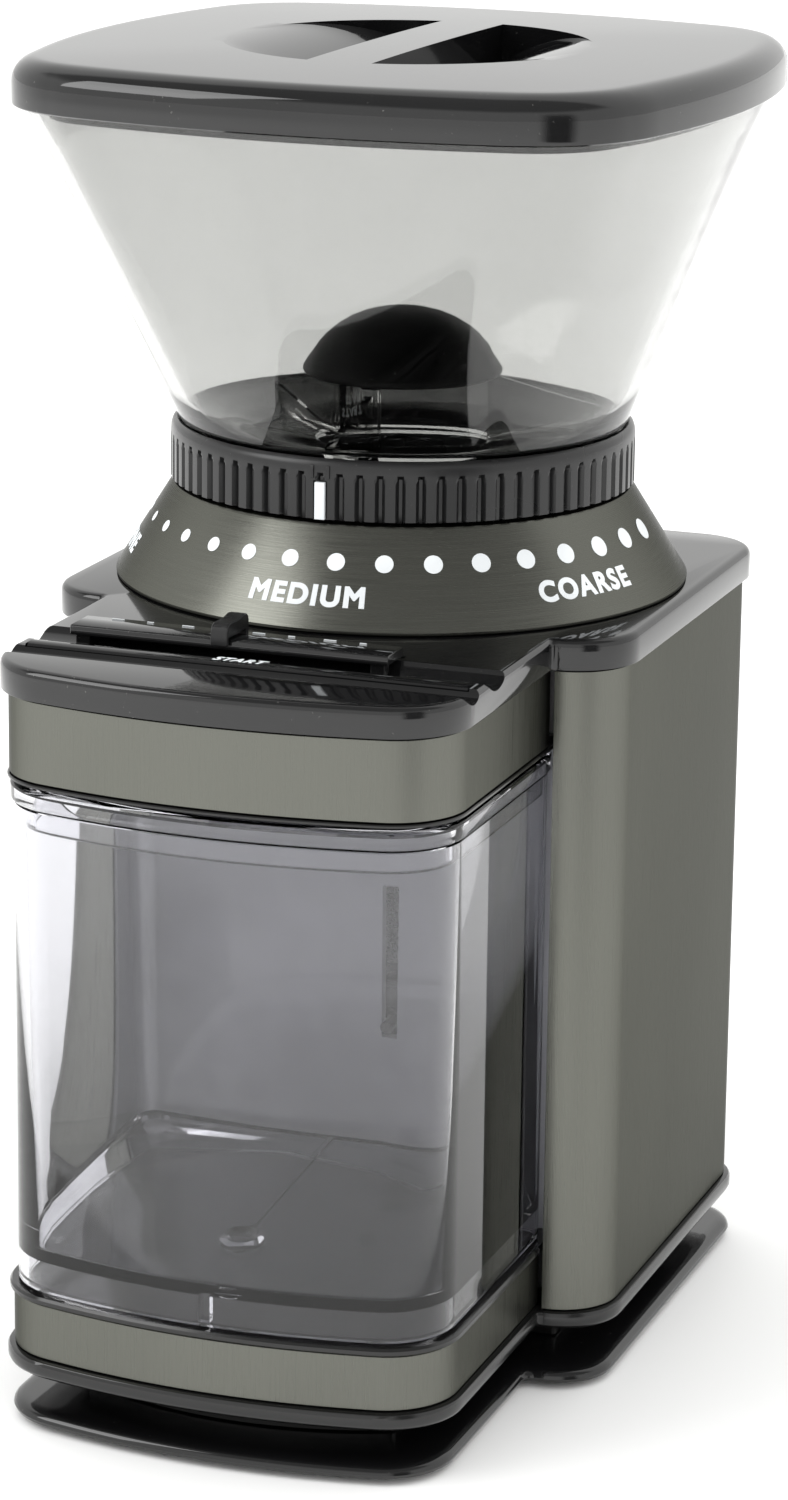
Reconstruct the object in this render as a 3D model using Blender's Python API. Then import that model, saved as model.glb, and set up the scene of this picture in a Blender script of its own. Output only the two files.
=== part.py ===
"""Burr coffee grinder: bean hopper over a turning grind ring, disk burrs, motor and a pull-out grounds bin.

The dimensions below are in millimetres and the meshes are made in metres. +Z is up, the front faces -Y,
X = 0 is the plane of symmetry, and the origin is on the table under the middle of the whole grinder.
Neighbouring solids keep a gap of 0.3 mm or more.
"""

import math

import bmesh
import bpy
from mathutils import Matrix, Vector

MM = 0.001

# Plan of the body: a bowed front block, and a wider rear block behind its shoulders.
FRONT_HALF = 47.75
FRONT_Y = -92.0
FRONT_BOW = 7.4
FRONT_RADIUS = 15.5
REAR_HALF = 61.95
SHOULDER_Y = -24.5
BACK_Y = 79.2
REAR_RADIUS = 12.5
SHEET = 1.0

# Heights of the body, from the table up.
FOOT_TOP = 1.0
PLATE_BOTTOM = 1.3
PLATE_TOP = 4.1
TRAY_BOTTOM = 9.4
TRAY_TOP = 15.7
LOWER_BAND_TOP = 27.5
SHELF_TOP = 29.4
BIN_BOTTOM = 29.8
BIN_FLOOR = 36.0
BIN_TOP = 131.0
BIN_LID_TOP = 135.3
HOOD_BOTTOM = 136.1
HOOD_FLOOR = 138.0
BODY_TOP = 153.7
COVER_BOTTOM = 154.3
COVER_UNDERSIDE = 156.4
COVER_TOP = 160.6
GAP = 0.3

# Grounds bin and the bay that it slides into.
BIN_HALF = 47.0
BIN_FRONT_Y = -91.4
BIN_REAR_Y = -15.2
BIN_WALL = 2.0
BAY_REAR_Y = -12.4
BAY_HALF = 49.0

# Burr axis, and everything that turns about it.
AXIS_Y = 20.5
COLLAR_BASE_RADIUS = 60.7
COLLAR_TOP_RADIUS = 48.7
COLLAR_TOP = 180.6
RING_RADIUS = 49.1
RING_BOTTOM = 181.2
RING_TOP = 194.0
RING_BORE = 46.2
RING_FLOOR = 182.8
HOPPER_RADIUS = 47.5
HOPPER_MOUTH = 262.0
HOPPER_MOUTH_HALF = 70.5
HOPPER_CORNER = 24.0
HOPPER_WALL = 2.0
HOPPER_SKEW = math.radians(-1.5)
SPIGOT_RADIUS = 45.8
SPIGOT_BOTTOM = 183.2
THROAT_RADIUS = 18.8
FLOOR_RADIUS = 43.2
FLOOR_EDGE_Z = 194.6
GUARD_RADIUS = 21.3
GUARD_BOTTOM = 203.9
LID_HALF = 73.2
LID_BOW = 13.0
LID_RADIUS = 26.3
LID_BOTTOM = 262.3
LID_TOP = 273.0
LID_EDGE = 5.2
LID_EDGE_RISE = 5.0
LID_CROWN = 0.8
LID_RIM_BOTTOM = 260.4
WELL_RADIUS = 38.3
GRIP_HALF = 7.0

# Controls on the front of the cover.
DIAL_GROOVE_Y = -59.8
DIAL_GROOVE_WIDTH = 11.4
DIAL_GROOVE_DEPTH = 2.4
PANEL_GROOVE_Y = -73.4
PANEL_GROOVE_WIDTH = 7.6
PANEL_GROOVE_DEPTH = 2.1
BAR_FRONT_Y = -69.7
BAR_REAR_Y = -65.6
BAR_HALF = 46.5
BAR_TOP = 160.9
RAIL_LEFT = -41.0
RAIL_RIGHT = 27.0
RAIL_FRONT_Y = -61.2
RAIL_REAR_Y = -52.4
RAIL_BOTTOM = 161.1
RAIL_TOP = 163.1
KNOB_LEFT = -10.0
KNOB_RIGHT = -6.4
KNOB_TOP = 166.8

# Drive train.
MODULE = 1.0
GEAR_TEETH = 54
PINION_TEETH = 12
CENTRE_DISTANCE = MODULE * (GEAR_TEETH + PINION_TEETH) / 2
MOTOR_Y = AXIS_Y + CENTRE_DISTANCE
GEAR_BOTTOM = 128.0
GEAR_TOP = 135.2
FRAME_BOTTOM = 122.4
FRAME_TOP = 126.4
MOTOR_RADIUS = 21.0
MOTOR_BOTTOM = 58.0
SPINDLE_RADIUS = 4.0
CHAMBER_RADIUS = 36.0
CHAMBER_BORE = 33.5
BURR_RADIUS = 24.0
BURR_BORE = 12.0
BURR_RIDGES = 24

FOOT_PLACES = {
    "front_left": (-33, -74),
    "front_right": (33, -74),
    "rear_left": (-47, 64),
    "rear_right": (47, 64),
}
SCREW_PLACES = {
    "front_left": (-22, -60),
    "front_right": (22, -60),
    "rear_left": (-38, 48),
    "rear_right": (38, 48),
}
MOTOR_SCREW_X = 12.5
INTERLOCK_X = 10.6
INTERLOCK_Z = 66
SLOT_HALF = 2.0
SLOT_BOTTOM = 62.5
SLOT_TOP = 100.0

FINISH_VALUES = {
    "gloss_black": ((0.012, 0.012, 0.014), 0.12, 0.0, 1.0),
    "satin_black": ((0.020, 0.020, 0.021), 0.38, 0.0, 1.0),
    "gunmetal": ((0.165, 0.165, 0.145), 0.32, 1.0, 1.0),
    "clear": ((0.90, 0.92, 0.91), 0.03, 0.0, 0.25),
    "smoke": ((0.46, 0.46, 0.50), 0.04, 0.0, 0.35),
    "white_mark": ((0.86, 0.88, 0.90), 0.45, 0.0, 1.0),
    "bay_grey": ((0.085, 0.085, 0.093), 0.30, 0.0, 1.0),
    "rubber": ((0.018, 0.018, 0.018), 0.85, 0.0, 1.0),
    "steel": ((0.55, 0.55, 0.53), 0.28, 1.0, 1.0),
    "brass": ((0.70, 0.50, 0.22), 0.30, 1.0, 1.0),
    "nylon": ((0.72, 0.70, 0.64), 0.50, 0.0, 1.0),
    "board_green": ((0.020, 0.120, 0.050), 0.45, 0.0, 1.0),
}


# Scene helpers ------------------------------------------------------------------------------------


def clear_scene():
    for obj in list(bpy.data.objects):
        bpy.data.objects.remove(obj, do_unlink=True)


def make_finishes():
    finishes = {}
    for name, (colour, roughness, metallic, alpha) in FINISH_VALUES.items():
        material = bpy.data.materials.new(name)
        material.use_nodes = True
        shader = material.node_tree.nodes["Principled BSDF"]
        shader.inputs["Base Color"].default_value = (*colour, 1.0)
        shader.inputs["Roughness"].default_value = roughness
        shader.inputs["Metallic"].default_value = metallic
        shader.inputs["Alpha"].default_value = alpha
        finishes[name] = material
    return finishes


def piece(name, bm, finish, origin=(0, 0, 0)):
    """Makes an object from a bmesh drawn in millimetres. Its own origin is at the given point."""
    bmesh.ops.remove_doubles(bm, verts=bm.verts, dist=1e-4)
    bmesh.ops.recalc_face_normals(bm, faces=bm.faces)
    bmesh.ops.translate(bm, verts=bm.verts, vec=-Vector(origin))
    bmesh.ops.scale(bm, verts=bm.verts, vec=(MM, MM, MM))
    mesh = bpy.data.meshes.new(name)
    bm.to_mesh(mesh)
    bm.free()
    mesh.shade_smooth()
    mesh.set_sharp_from_angle(angle=math.radians(32))
    mesh.materials.append(FINISHES[finish])
    obj = bpy.data.objects.new(name, mesh)
    obj.location = Vector(origin) * MM
    bpy.context.scene.collection.objects.link(obj)
    return obj


def combine(obj, operation, tools):
    """Cuts the tools from the object, or joins them to it. The tools themselves stay hidden."""
    for number, bm in enumerate(tools):
        tool = piece(f"{obj.name}_{operation.lower()}_{number}", bm, "steel")
        tool.hide_render = True
        tool.display_type = "WIRE"
        modifier = obj.modifiers.new(tool.name, "BOOLEAN")
        modifier.operation = operation
        modifier.object = tool
    return obj


def cut(obj, *tools):
    return combine(obj, "DIFFERENCE", tools)


def join(obj, *tools):
    return combine(obj, "UNION", tools)


def moving_group(name, point, objects):
    """An empty on a joint's axis that carries the objects of one moving group."""
    empty = bpy.data.objects.new(name, None)
    empty.location = Vector(point) * MM
    bpy.context.scene.collection.objects.link(empty)
    for obj in objects:
        obj.location = obj.location - empty.location
        obj.parent = empty


# Outlines, counter-clockwise seen from above ------------------------------------------------------


def arc(centre_x, centre_y, radius, start, end, steps):
    """Points on an arc. The angles are in degrees, and both ends are included."""
    angles = [math.radians(start + (end - start) * i / steps) for i in range(steps + 1)]
    return [(centre_x + radius * math.cos(a), centre_y + radius * math.sin(a)) for a in angles]


def bowed_front(half, front, bow, radius, corner_steps=4, bow_steps=6):
    """The front of a block from its left side to its right side: two rounded corners and a bow between."""
    corner_x = half - radius
    slope = 2 * bow * corner_x / half**2
    tilt = math.degrees(math.atan(slope))
    edge_y = front + bow * (corner_x / half) ** 2
    centre_y = edge_y + radius * math.hypot(1, slope)
    left = arc(-corner_x, centre_y, radius, 180, 270 - tilt, corner_steps)
    reach = -left[-1][0]
    bow_xs = [reach * (2 * i / bow_steps - 1) for i in range(1, bow_steps)]
    middle = [(x, front + bow * (x / half) ** 2) for x in bow_xs]
    right = [(-x, y) for x, y in reversed(left)]
    return left + middle + right


def front_path(offset, rear_y):
    """The front block's outline from its left rear end round the front to its right rear end."""
    half = FRONT_HALF + offset
    front = bowed_front(half, FRONT_Y - offset, FRONT_BOW, FRONT_RADIUS + offset)
    return [(-half, rear_y)] + front + [(half, rear_y)]


def body_outline(offset, half=FRONT_HALF, front=FRONT_Y, shoulder=SHOULDER_Y, rear_half=REAR_HALF,
                 back=BACK_Y):
    """The stepped plan of the whole body, grown outwards by the offset."""
    radius = max(REAR_RADIUS + offset, 0.8)
    x = rear_half + offset - radius
    low = shoulder - offset + radius
    high = back + offset - radius
    points = arc(x, low, radius, -90, 0, 5)
    points += arc(x, high, radius, 0, 90, 5)
    points += arc(-x, high, radius, 90, 180, 5)
    points += arc(-x, low, radius, 180, 270, 5)
    points.append((-half - offset, shoulder - offset))
    points += bowed_front(half + offset, front - offset, FRONT_BOW, max(FRONT_RADIUS + offset, 1.5))
    points.append((half + offset, shoulder - offset))
    return points


def bin_outline(offset):
    """The grounds bin's outline, bowed in front and with rounded rear corners."""
    half = BIN_HALF + offset
    radius = 6.0 + offset
    rear = BIN_REAR_Y + offset
    front = bowed_front(half, BIN_FRONT_Y - offset, FRONT_BOW, FRONT_RADIUS + offset)
    right = arc(half - radius, rear - radius, radius, 0, 90, 4)
    left = arc(-half + radius, rear - radius, radius, 90, 180, 4)
    return front + right + left


def rectangle(left, right, front, rear):
    return [(left, front), (right, front), (right, rear), (left, rear)]


def round_square(half, bow, radius, side_steps=5, corner_steps=5):
    """A square with bowed sides and round corners about the burr axis, turned by the hopper's skew."""
    corner_x = half - radius
    slope = 2 * bow * corner_x / half**2
    tilt = math.degrees(math.atan(slope))
    edge_y = -half + bow * (corner_x / half) ** 2
    arc_x = corner_x - radius * math.sin(math.radians(tilt))
    arc_y = edge_y + radius * math.cos(math.radians(tilt))
    centre = (arc_x - arc_y) / 2
    side = [corner_x * (2 * i / side_steps - 1) for i in range(side_steps + 1)]
    quarter = [(x, -half + bow * (x / half) ** 2) for x in side]
    quarter += arc(centre, -centre, radius, 270 + tilt, 360 - tilt, corner_steps)[1:-1]
    points = []
    for turn in range(4):
        angle = math.radians(90 * turn) + HOPPER_SKEW
        cos, sin = math.cos(angle), math.sin(angle)
        points += [(cos * x - sin * y, AXIS_Y + sin * x + cos * y) for x, y in quarter]
    return points


def circle_like(outline, radius):
    """A circle about the burr axis with a point on each point's own bearing, to loft an outline to."""
    bearings = [math.atan2(y - AXIS_Y, x) for x, y in outline]
    return [(radius * math.cos(b), AXIS_Y + radius * math.sin(b)) for b in bearings]


def shrunk(outline, share):
    return [(share * x, AXIS_Y + share * (y - AXIS_Y)) for x, y in outline]


def half_disc(radius, chord_x, side, steps=12):
    """The part of a disc about the burr axis beyond a chord, on the +X side (side 1) or the -X side (-1)."""
    reach = math.degrees(math.acos(chord_x / radius))
    points = [(side * x, y) for x, y in arc(0, AXIS_Y, radius, -reach, reach, steps)]
    return points if side > 0 else points[::-1]


def gear_outline(centre_y, teeth, phase):
    """Straight-flanked teeth with running clearance. The phase is in pitches, and 0 puts a tooth at +X."""
    pitch = 2 * math.pi / teeth
    root = MODULE * (teeth / 2 - 1.15)
    tip = MODULE * (teeth / 2 + 0.85)
    corners = ((-0.29, root), (-0.12, tip), (0.12, tip), (0.29, root))
    points = []
    for tooth in range(teeth):
        for share, radius in corners:
            angle = (tooth + phase + share) * pitch
            points.append((radius * math.cos(angle), centre_y + radius * math.sin(angle)))
    return points


# Solids -------------------------------------------------------------------------------------------


def at(outline, height):
    return [(x, y, height) for x, y in outline]


def skin(loops, closed=False):
    """A solid through a row of loops with equal numbers of points: capped ends, or a closed tube."""
    bm = bmesh.new()
    rings = [[bm.verts.new(point) for point in loop] for loop in loops]
    pairs = list(zip(rings, rings[1:]))
    if closed:
        pairs.append((rings[-1], rings[0]))
    else:
        bm.faces.new(rings[0])
        bm.faces.new(rings[-1])
    for low, high in pairs:
        for i in range(len(low)):
            j = (i + 1) % len(low)
            bm.faces.new((low[i], low[j], high[j], high[i]))
    return bm


def prism(outline, bottom, top):
    return skin([at(outline, bottom), at(outline, top)])


def box(left, right, front, rear, bottom, top):
    return prism(rectangle(left, right, front, rear), bottom, top)


def side_prism(outline, left, right):
    """A (y, z) outline extruded along X."""
    return skin([[(x, y, z) for y, z in outline] for x in (left, right)])


def turned(profile, place, steps=36):
    """Spins a (radius, height) profile about a vertical axis, then places it. A profile that starts
    off the axis is a closed ring."""
    bm = bmesh.new()
    verts = [bm.verts.new((radius, 0, height)) for radius, height in profile]
    edges = [bm.edges.new(pair) for pair in zip(verts, verts[1:])]
    if profile[0][0] > 0:
        edges.append(bm.edges.new((verts[-1], verts[0])))
    bmesh.ops.spin(
        bm, geom=verts + edges, cent=(0, 0, 0), axis=(0, 0, 1), angle=2 * math.pi, steps=steps, use_merge=True
    )
    bmesh.ops.remove_doubles(bm, verts=bm.verts, dist=1e-4)
    bmesh.ops.transform(bm, matrix=place, verts=bm.verts)
    return bm


def about(x, y):
    """Places a turned shape on a vertical axis through x, y."""
    return Matrix.Translation((x, y, 0))


def along_y(x, z):
    """Lays a turned shape down: its axis runs along +Y at x, z, and its heights become y."""
    return Matrix.Translation((x, 0, z)) @ Matrix.Rotation(math.radians(-90), 4, "X")


def disc(radius, bottom, top, place, steps=24):
    return turned([(0, bottom), (radius, bottom), (radius, top), (0, top)], place, steps)


def lying_cutter(y, z, radius, steps=72):
    """A long cylinder along X, to cut a groove across the cover."""
    place = Matrix.Translation((0, y, z)) @ Matrix.Rotation(math.radians(90), 4, "Y")
    return disc(radius, -80, 80, place, steps)


def groove_cutter(y, width, depth):
    """The cylinder that leaves a groove of this width and depth in the cover's top."""
    radius = (width**2 / 4 + depth**2) / (2 * depth)
    return lying_cutter(y, COVER_TOP + radius - depth, radius)


def radial_prism(bearing, outline, half_width):
    """A (radius, height) outline as an upright plate on a bearing about the burr axis, in degrees."""
    bm = skin([[(r, w, z) for r, z in outline] for w in (-half_width, half_width)])
    turn = Matrix.Rotation(math.radians(bearing), 4, "Z")
    bmesh.ops.transform(bm, matrix=about(0, AXIS_Y) @ turn, verts=bm.verts)
    return bm


def block(inner, outer, bottom, top):
    """The (radius, height) outline of a rectangular lug."""
    return [(inner, bottom), (outer, bottom), (outer, top), (inner, top)]


# Base ---------------------------------------------------------------------------------------------


def make_feet():
    for place, (x, y) in FOOT_PLACES.items():
        profile = [(0, 0), (6.6, 0), (7, 0.3), (7, FOOT_TOP), (0, FOOT_TOP)]
        piece(f"rubber_foot_{place}", turned(profile, about(x, y), 16), "rubber")


def make_foot_plate():
    def outline(offset):
        return body_outline(offset, 47.7, -92.9, -29.6, 63.0, 80.2)

    rim = ((-0.6, PLATE_BOTTOM), (0, 1.9), (0, 3.2), (-0.9, PLATE_TOP))
    plate = piece("foot_plate", skin([at(outline(o), z) for o, z in rim]), "gloss_black")
    for x, y in SCREW_PLACES.values():
        cut(plate, disc(3.4, 0, 3.1, about(x, y), 16), disc(1.8, 0, 6, about(x, y), 16))


def make_neck():
    outer, inner = body_outline(-14), body_outline(-16.5)
    bottom, top = PLATE_TOP + GAP, TRAY_BOTTOM - GAP
    loops = [at(outer, bottom), at(outer, top), at(inner, top), at(inner, bottom)]
    piece("cord_wrap_neck", skin(loops, closed=True), "satin_black")


def make_base_tray():
    section = (
        (-12, TRAY_BOTTOM),
        (-7, TRAY_BOTTOM),
        (1.3, 12.9),
        (1.3, 15.3),
        (0.9, TRAY_TOP),
        (-2.2, TRAY_TOP),
        (-2.2, 12.2),
    )
    tray = piece("base_tray", skin([at(body_outline(o), z) for o, z in section]), "satin_black")
    for x, y in SCREW_PLACES.values():
        cut(tray, disc(1.8, 5, 20, about(x, y), 16))


def make_base_screws():
    for place, (x, y) in SCREW_PLACES.items():
        profile = [(0, 1.5), (2.4, 1.5), (3, 2), (3, 2.8), (1.4, 2.8), (1.4, 11.6), (0, 12)]
        piece(f"base_screw_{place}", turned(profile, about(x, y), 12), "steel")


# Body ---------------------------------------------------------------------------------------------


def make_rear_shell():
    """Sheet steel wrapped round the back, the sides and the front shoulders, open in front."""

    def wrap(offset):
        points = body_outline(offset)
        edge = (FRONT_HALF + 1.6, SHOULDER_Y - offset)
        return [edge] + points[:24] + [(-edge[0], edge[1])]

    outline = wrap(0) + wrap(-SHEET)[::-1]
    shell = piece("rear_shell", prism(outline, TRAY_TOP + GAP, BODY_TOP), "gunmetal")
    cut(shell, disc(4.7, 60, 90, along_y(0, 24), 24))


def make_band(name, bottom, top):
    outline = front_path(0, SHOULDER_Y + 2.5) + front_path(-SHEET, SHOULDER_Y + 2.5)[::-1]
    piece(name, prism(outline, bottom, top), "gunmetal")


def make_bin_shelf():
    section = (
        (-3.0, 26.0),
        (-3.0, TRAY_TOP + GAP),
        (-1.4, TRAY_TOP + GAP),
        (-1.4, LOWER_BAND_TOP + GAP),
        (0.8, LOWER_BAND_TOP + GAP),
        (0.8, SHELF_TOP - 0.3),
        (0.5, SHELF_TOP),
    )
    rear = BAY_REAR_Y - 1.4
    loops = [at(front_path(o, rear + o), z) for o, z in section]
    piece("bin_shelf", skin(loops), "satin_black")


def make_bin_bay():
    """The moulded wall behind the bin with a cheek on each side. Chamber and chute pass through its top,
    and the interlock plunger through the foot of its upright slot."""
    outer, front = BAY_HALF + 1.6, SHOULDER_Y + 1.5
    right = [(outer, BAY_REAR_Y + 2.2), (outer, front), (BAY_HALF, front), (BAY_HALF, BAY_REAR_Y)]
    outline = right + [(-x, y) for x, y in reversed(right)]
    bay = piece("bin_bay", prism(outline, TRAY_TOP + GAP, BODY_TOP), "bay_grey")
    slot_left, slot_right = INTERLOCK_X - SLOT_HALF, INTERLOCK_X + SLOT_HALF
    cut(
        bay,
        box(-21, 21, BAY_REAR_Y - 3, BAY_REAR_Y + 6, HOOD_BOTTOM + 1, 170),
        box(slot_left, slot_right, BAY_REAR_Y - 3, BAY_REAR_Y + 6, SLOT_BOTTOM, SLOT_TOP),
    )


def make_front_hood():
    """The moulded floor of the control housing. Its lip shows under the upper band."""
    rear = BAY_REAR_Y - 0.9
    section = ((0.25, HOOD_BOTTOM), (0.25, 136.8), (-1.4, 136.8), (-1.4, HOOD_FLOOR))
    hood = piece("front_hood", skin([at(front_path(o, rear + o), z) for o, z in section]), "satin_black")
    posts = [disc(3, HOOD_FLOOR - 0.5, 140, about(x, y), 12) for x in (-35, 35) for y in (-72, -51)]
    join(hood, *posts)
    cut(hood, box(-12.5, 12.5, -42.5, -29.5, 130, 142))


def make_cord_gland():
    profile = [(0, 75), (4.2, 75), (4.2, 79.5), (6.5, 79.5), (6.2, 81.2), (4.0, 83.5)]
    profile += [(2.6, 83.5), (2.6, 77), (0, 77)]
    piece("cord_gland", turned(profile, along_y(0, 24), 24), "rubber")


# Bin ----------------------------------------------------------------------------------------------


def make_grounds_bin():
    """Clear walls, a floor raised on a skirt, and an open top."""
    section = (
        (-BIN_WALL, BIN_FLOOR),
        (-BIN_WALL, BIN_BOTTOM),
        (0, BIN_BOTTOM),
        (0, BIN_TOP),
        (-BIN_WALL, BIN_TOP),
        (-BIN_WALL, BIN_FLOOR + 2.1),
    )
    origin = (0, BIN_REAR_Y, BIN_BOTTOM)
    return piece("grounds_bin", skin([at(bin_outline(o), z) for o, z in section]), "smoke", origin)


def make_bin_lid():
    section = (
        (0.1, BIN_LID_TOP),
        (0.7, BIN_LID_TOP - 0.4),
        (0.7, BIN_TOP + 0.4),
        (-2.4, BIN_TOP + 0.4),
        (-2.4, 126.3),
        (-4.0, 126.3),
        (-4.0, 133.2),
    )
    origin = (0, BIN_REAR_Y, BIN_TOP)
    lid = piece("bin_lid", skin([at(bin_outline(o), z) for o, z in section]), "smoke", origin)
    return cut(lid, box(-13, 13, -43, -29, 120, 140))


# Cover and controls -------------------------------------------------------------------------------


def make_top_cover():
    section = (
        (-0.4, COVER_UNDERSIDE),
        (-0.4, COVER_BOTTOM),
        (1.5, COVER_BOTTOM),
        (1.5, COVER_TOP - 1.3),
        (1.1, COVER_TOP - 0.4),
        (0.2, COVER_TOP),
    )
    cover = piece("top_cover", skin([at(body_outline(o), z) for o, z in section]), "gloss_black")
    slack = GAP + 0.05
    cut(
        cover,
        disc(CHAMBER_RADIUS + 1.4, 150, 170, about(0, AXIS_Y), 48),
        groove_cutter(DIAL_GROOVE_Y, DIAL_GROOVE_WIDTH, DIAL_GROOVE_DEPTH),
        groove_cutter(PANEL_GROOVE_Y, PANEL_GROOVE_WIDTH, PANEL_GROOVE_DEPTH),
        box(-BAR_HALF - slack, BAR_HALF + slack, BAR_FRONT_Y - slack, BAR_REAR_Y + slack, 150, 170),
        box(RAIL_LEFT - 0.5, RAIL_RIGHT, -52.45, -50.55, 150, 170),
    )


def make_slider_rail():
    """A flat rail over the rear groove. It stands on two feet in the groove."""
    middle = RAIL_TOP - 0.5
    section = (
        (RAIL_FRONT_Y, RAIL_BOTTOM),
        (RAIL_REAR_Y, RAIL_BOTTOM),
        (RAIL_REAR_Y, middle),
        (RAIL_REAR_Y - 0.5, RAIL_TOP),
        (RAIL_FRONT_Y + 0.5, RAIL_TOP),
        (RAIL_FRONT_Y, middle),
    )
    rail = piece("slider_rail", side_prism(section, RAIL_LEFT, RAIL_RIGHT), "satin_black")
    feet = [(RAIL_LEFT + 1, RAIL_LEFT + 4), (RAIL_RIGHT - 4, RAIL_RIGHT - 1)]
    join(rail, *[box(left, right, -60.6, -57.6, 158.6, RAIL_BOTTOM + 0.6) for left, right in feet])


def make_cup_slider():
    """The saddle over the rail. Its leg goes down behind the rail to the wiper."""
    section = (
        (-62.6, 162.0),
        (-61.6, 162.0),
        (-61.6, 163.5),
        (-52.1, 163.5),
        (-52.1, 154.0),
        (-50.9, 154.0),
        (-50.9, 165.4),
        (-52.0, KNOB_TOP - 0.3),
        (-53.5, KNOB_TOP),
        (-59.5, KNOB_TOP),
        (-61.6, KNOB_TOP - 0.6),
        (-62.6, KNOB_TOP - 1.9),
    )
    origin = ((KNOB_LEFT + KNOB_RIGHT) / 2, -56, RAIL_TOP)
    knob = piece("cup_slider_knob", side_prism(section, KNOB_LEFT, KNOB_RIGHT), "satin_black", origin)
    wiper = piece("pot_wiper", box(-10.6, -5.8, -53, -49, 150.9, 153.7), "nylon", origin)
    return knob, wiper


def make_power_bar():
    """The bar across the cover that starts the timer: a crowned top, a retaining flange and a stem."""
    front, rear = BAR_FRONT_Y, BAR_REAR_Y
    middle = (front + rear) / 2
    section = (
        (front, 155.9),
        (front - 1.7, 155.9),
        (front - 1.7, 154.8),
        (rear + 1.7, 154.8),
        (rear + 1.7, 155.9),
        (rear, 155.9),
        (rear, BAR_TOP - 0.7),
        (rear - 0.8, BAR_TOP - 0.2),
        (middle, BAR_TOP),
        (front + 0.8, BAR_TOP - 0.2),
        (front, BAR_TOP - 0.7),
    )
    strip = side_prism(section, -BAR_HALF, BAR_HALF)
    bar = piece("start_power_bar", strip, "gloss_black", (0, middle, BAR_TOP))
    stem = [(0, 151.8), (3.6, 151.8), (3.6, 152.8), (1.6, 152.8), (1.6, 155.4), (0, 155.4)]
    join(bar, turned(stem, about(0, middle), 16))


def make_start_switch():
    y = (BAR_FRONT_Y + BAR_REAR_Y) / 2
    switch = piece("start_switch", box(-4, 4, y - 4, y + 4, 142.2, 148), "satin_black")
    cut(switch, disc(1.9, 144.4, 150, about(0, y), 16))
    piece("start_switch_plunger", disc(1.5, 146.2, 151.5, about(0, y), 16), "nylon", (0, y, 151.5))


def make_spring():
    """The power bar's return spring: a coil round the switch plunger."""
    y = (BAR_FRONT_Y + BAR_REAR_Y) / 2
    turns, per_turn, radius, wire = 3, 12, 2.6, 0.32
    bottom, top = 148.7, 151.1
    curve = bpy.data.curves.new("power_bar_spring", "CURVE")
    curve.dimensions = "3D"
    spline = curve.splines.new("POLY")
    count = turns * per_turn + 1
    spline.points.add(count - 1)
    for i, point in enumerate(spline.points):
        angle = 2 * math.pi * i / per_turn
        height = bottom + (top - bottom) * i / (count - 1)
        point.co = (radius * math.cos(angle) * MM, (y + radius * math.sin(angle)) * MM, height * MM, 1)
    curve.bevel_depth = wire * MM
    curve.bevel_resolution = 1
    curve.use_fill_caps = True
    curve.materials.append(FINISHES["steel"])
    obj = bpy.data.objects.new("power_bar_spring", curve)
    bpy.context.scene.collection.objects.link(obj)


def make_electronics():
    board = piece("control_board", box(-39, 39, -77, -46.4, 140.3, 141.9), "board_green")
    chips = [box(x, x + 9, -75, -62, 141.5, 144.4) for x in (-30, 15)]
    join(board, *chips)
    pot = piece("slide_potentiometer", box(-41, 29, -54.6, -47.4, 142.2, 150.5), "steel")
    cut(pot, box(-39.5, 27.5, -52, -50, 148, 152))


def make_interlock():
    """The switch that stops the motor when the bin is out, with its plunger through the bay wall."""
    case = box(INTERLOCK_X - 6, INTERLOCK_X + 6, BAY_REAR_Y + 2.6, 4, INTERLOCK_Z - 8, INTERLOCK_Z + 8)
    switch = piece("bin_interlock_switch", case, "satin_black")
    cut(switch, disc(SLOT_HALF, BAY_REAR_Y - 2, -4, along_y(INTERLOCK_X, INTERLOCK_Z), 16))
    start = BIN_REAR_Y + 0.6
    plunger = disc(SLOT_HALF - 0.4, start, -5.4, along_y(INTERLOCK_X, INTERLOCK_Z), 16)
    piece("bin_interlock_plunger", plunger, "satin_black", (INTERLOCK_X, start, INTERLOCK_Z))


# Collar, grind setting and hopper -----------------------------------------------------------------


def make_collar():
    base, top = COLLAR_BASE_RADIUS, COLLAR_TOP_RADIUS
    low = COVER_TOP + GAP
    profile = [(base - 1.3, low), (base, low), (base, low + 0.6), (top, COLLAR_TOP), (44.5, COLLAR_TOP)]
    profile += [(44.5, COLLAR_TOP - 1.3), (top - 1.6, COLLAR_TOP - 1.3)]
    piece("selector_collar", turned(profile, about(0, AXIS_Y), 48), "gunmetal")


def make_adjusting_ring():
    """Turns with the hopper through three dogs, and feeds the upper burr up and down."""
    top = RING_BOTTOM - GAP - 0.1
    profile = [(22, 169.4), (33, 169.4), (33, 176.8), (43, 176.8), (43, top), (22, top)]
    ring = piece("adjusting_ring", turned(profile, about(0, AXIS_Y)), "satin_black", (0, AXIS_Y, 176))
    dogs = [radial_prism(bearing, block(38.5, 42, top - 0.6, RING_FLOOR), 4) for bearing in (30, 150, 270)]
    join(ring, *dogs)


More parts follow.
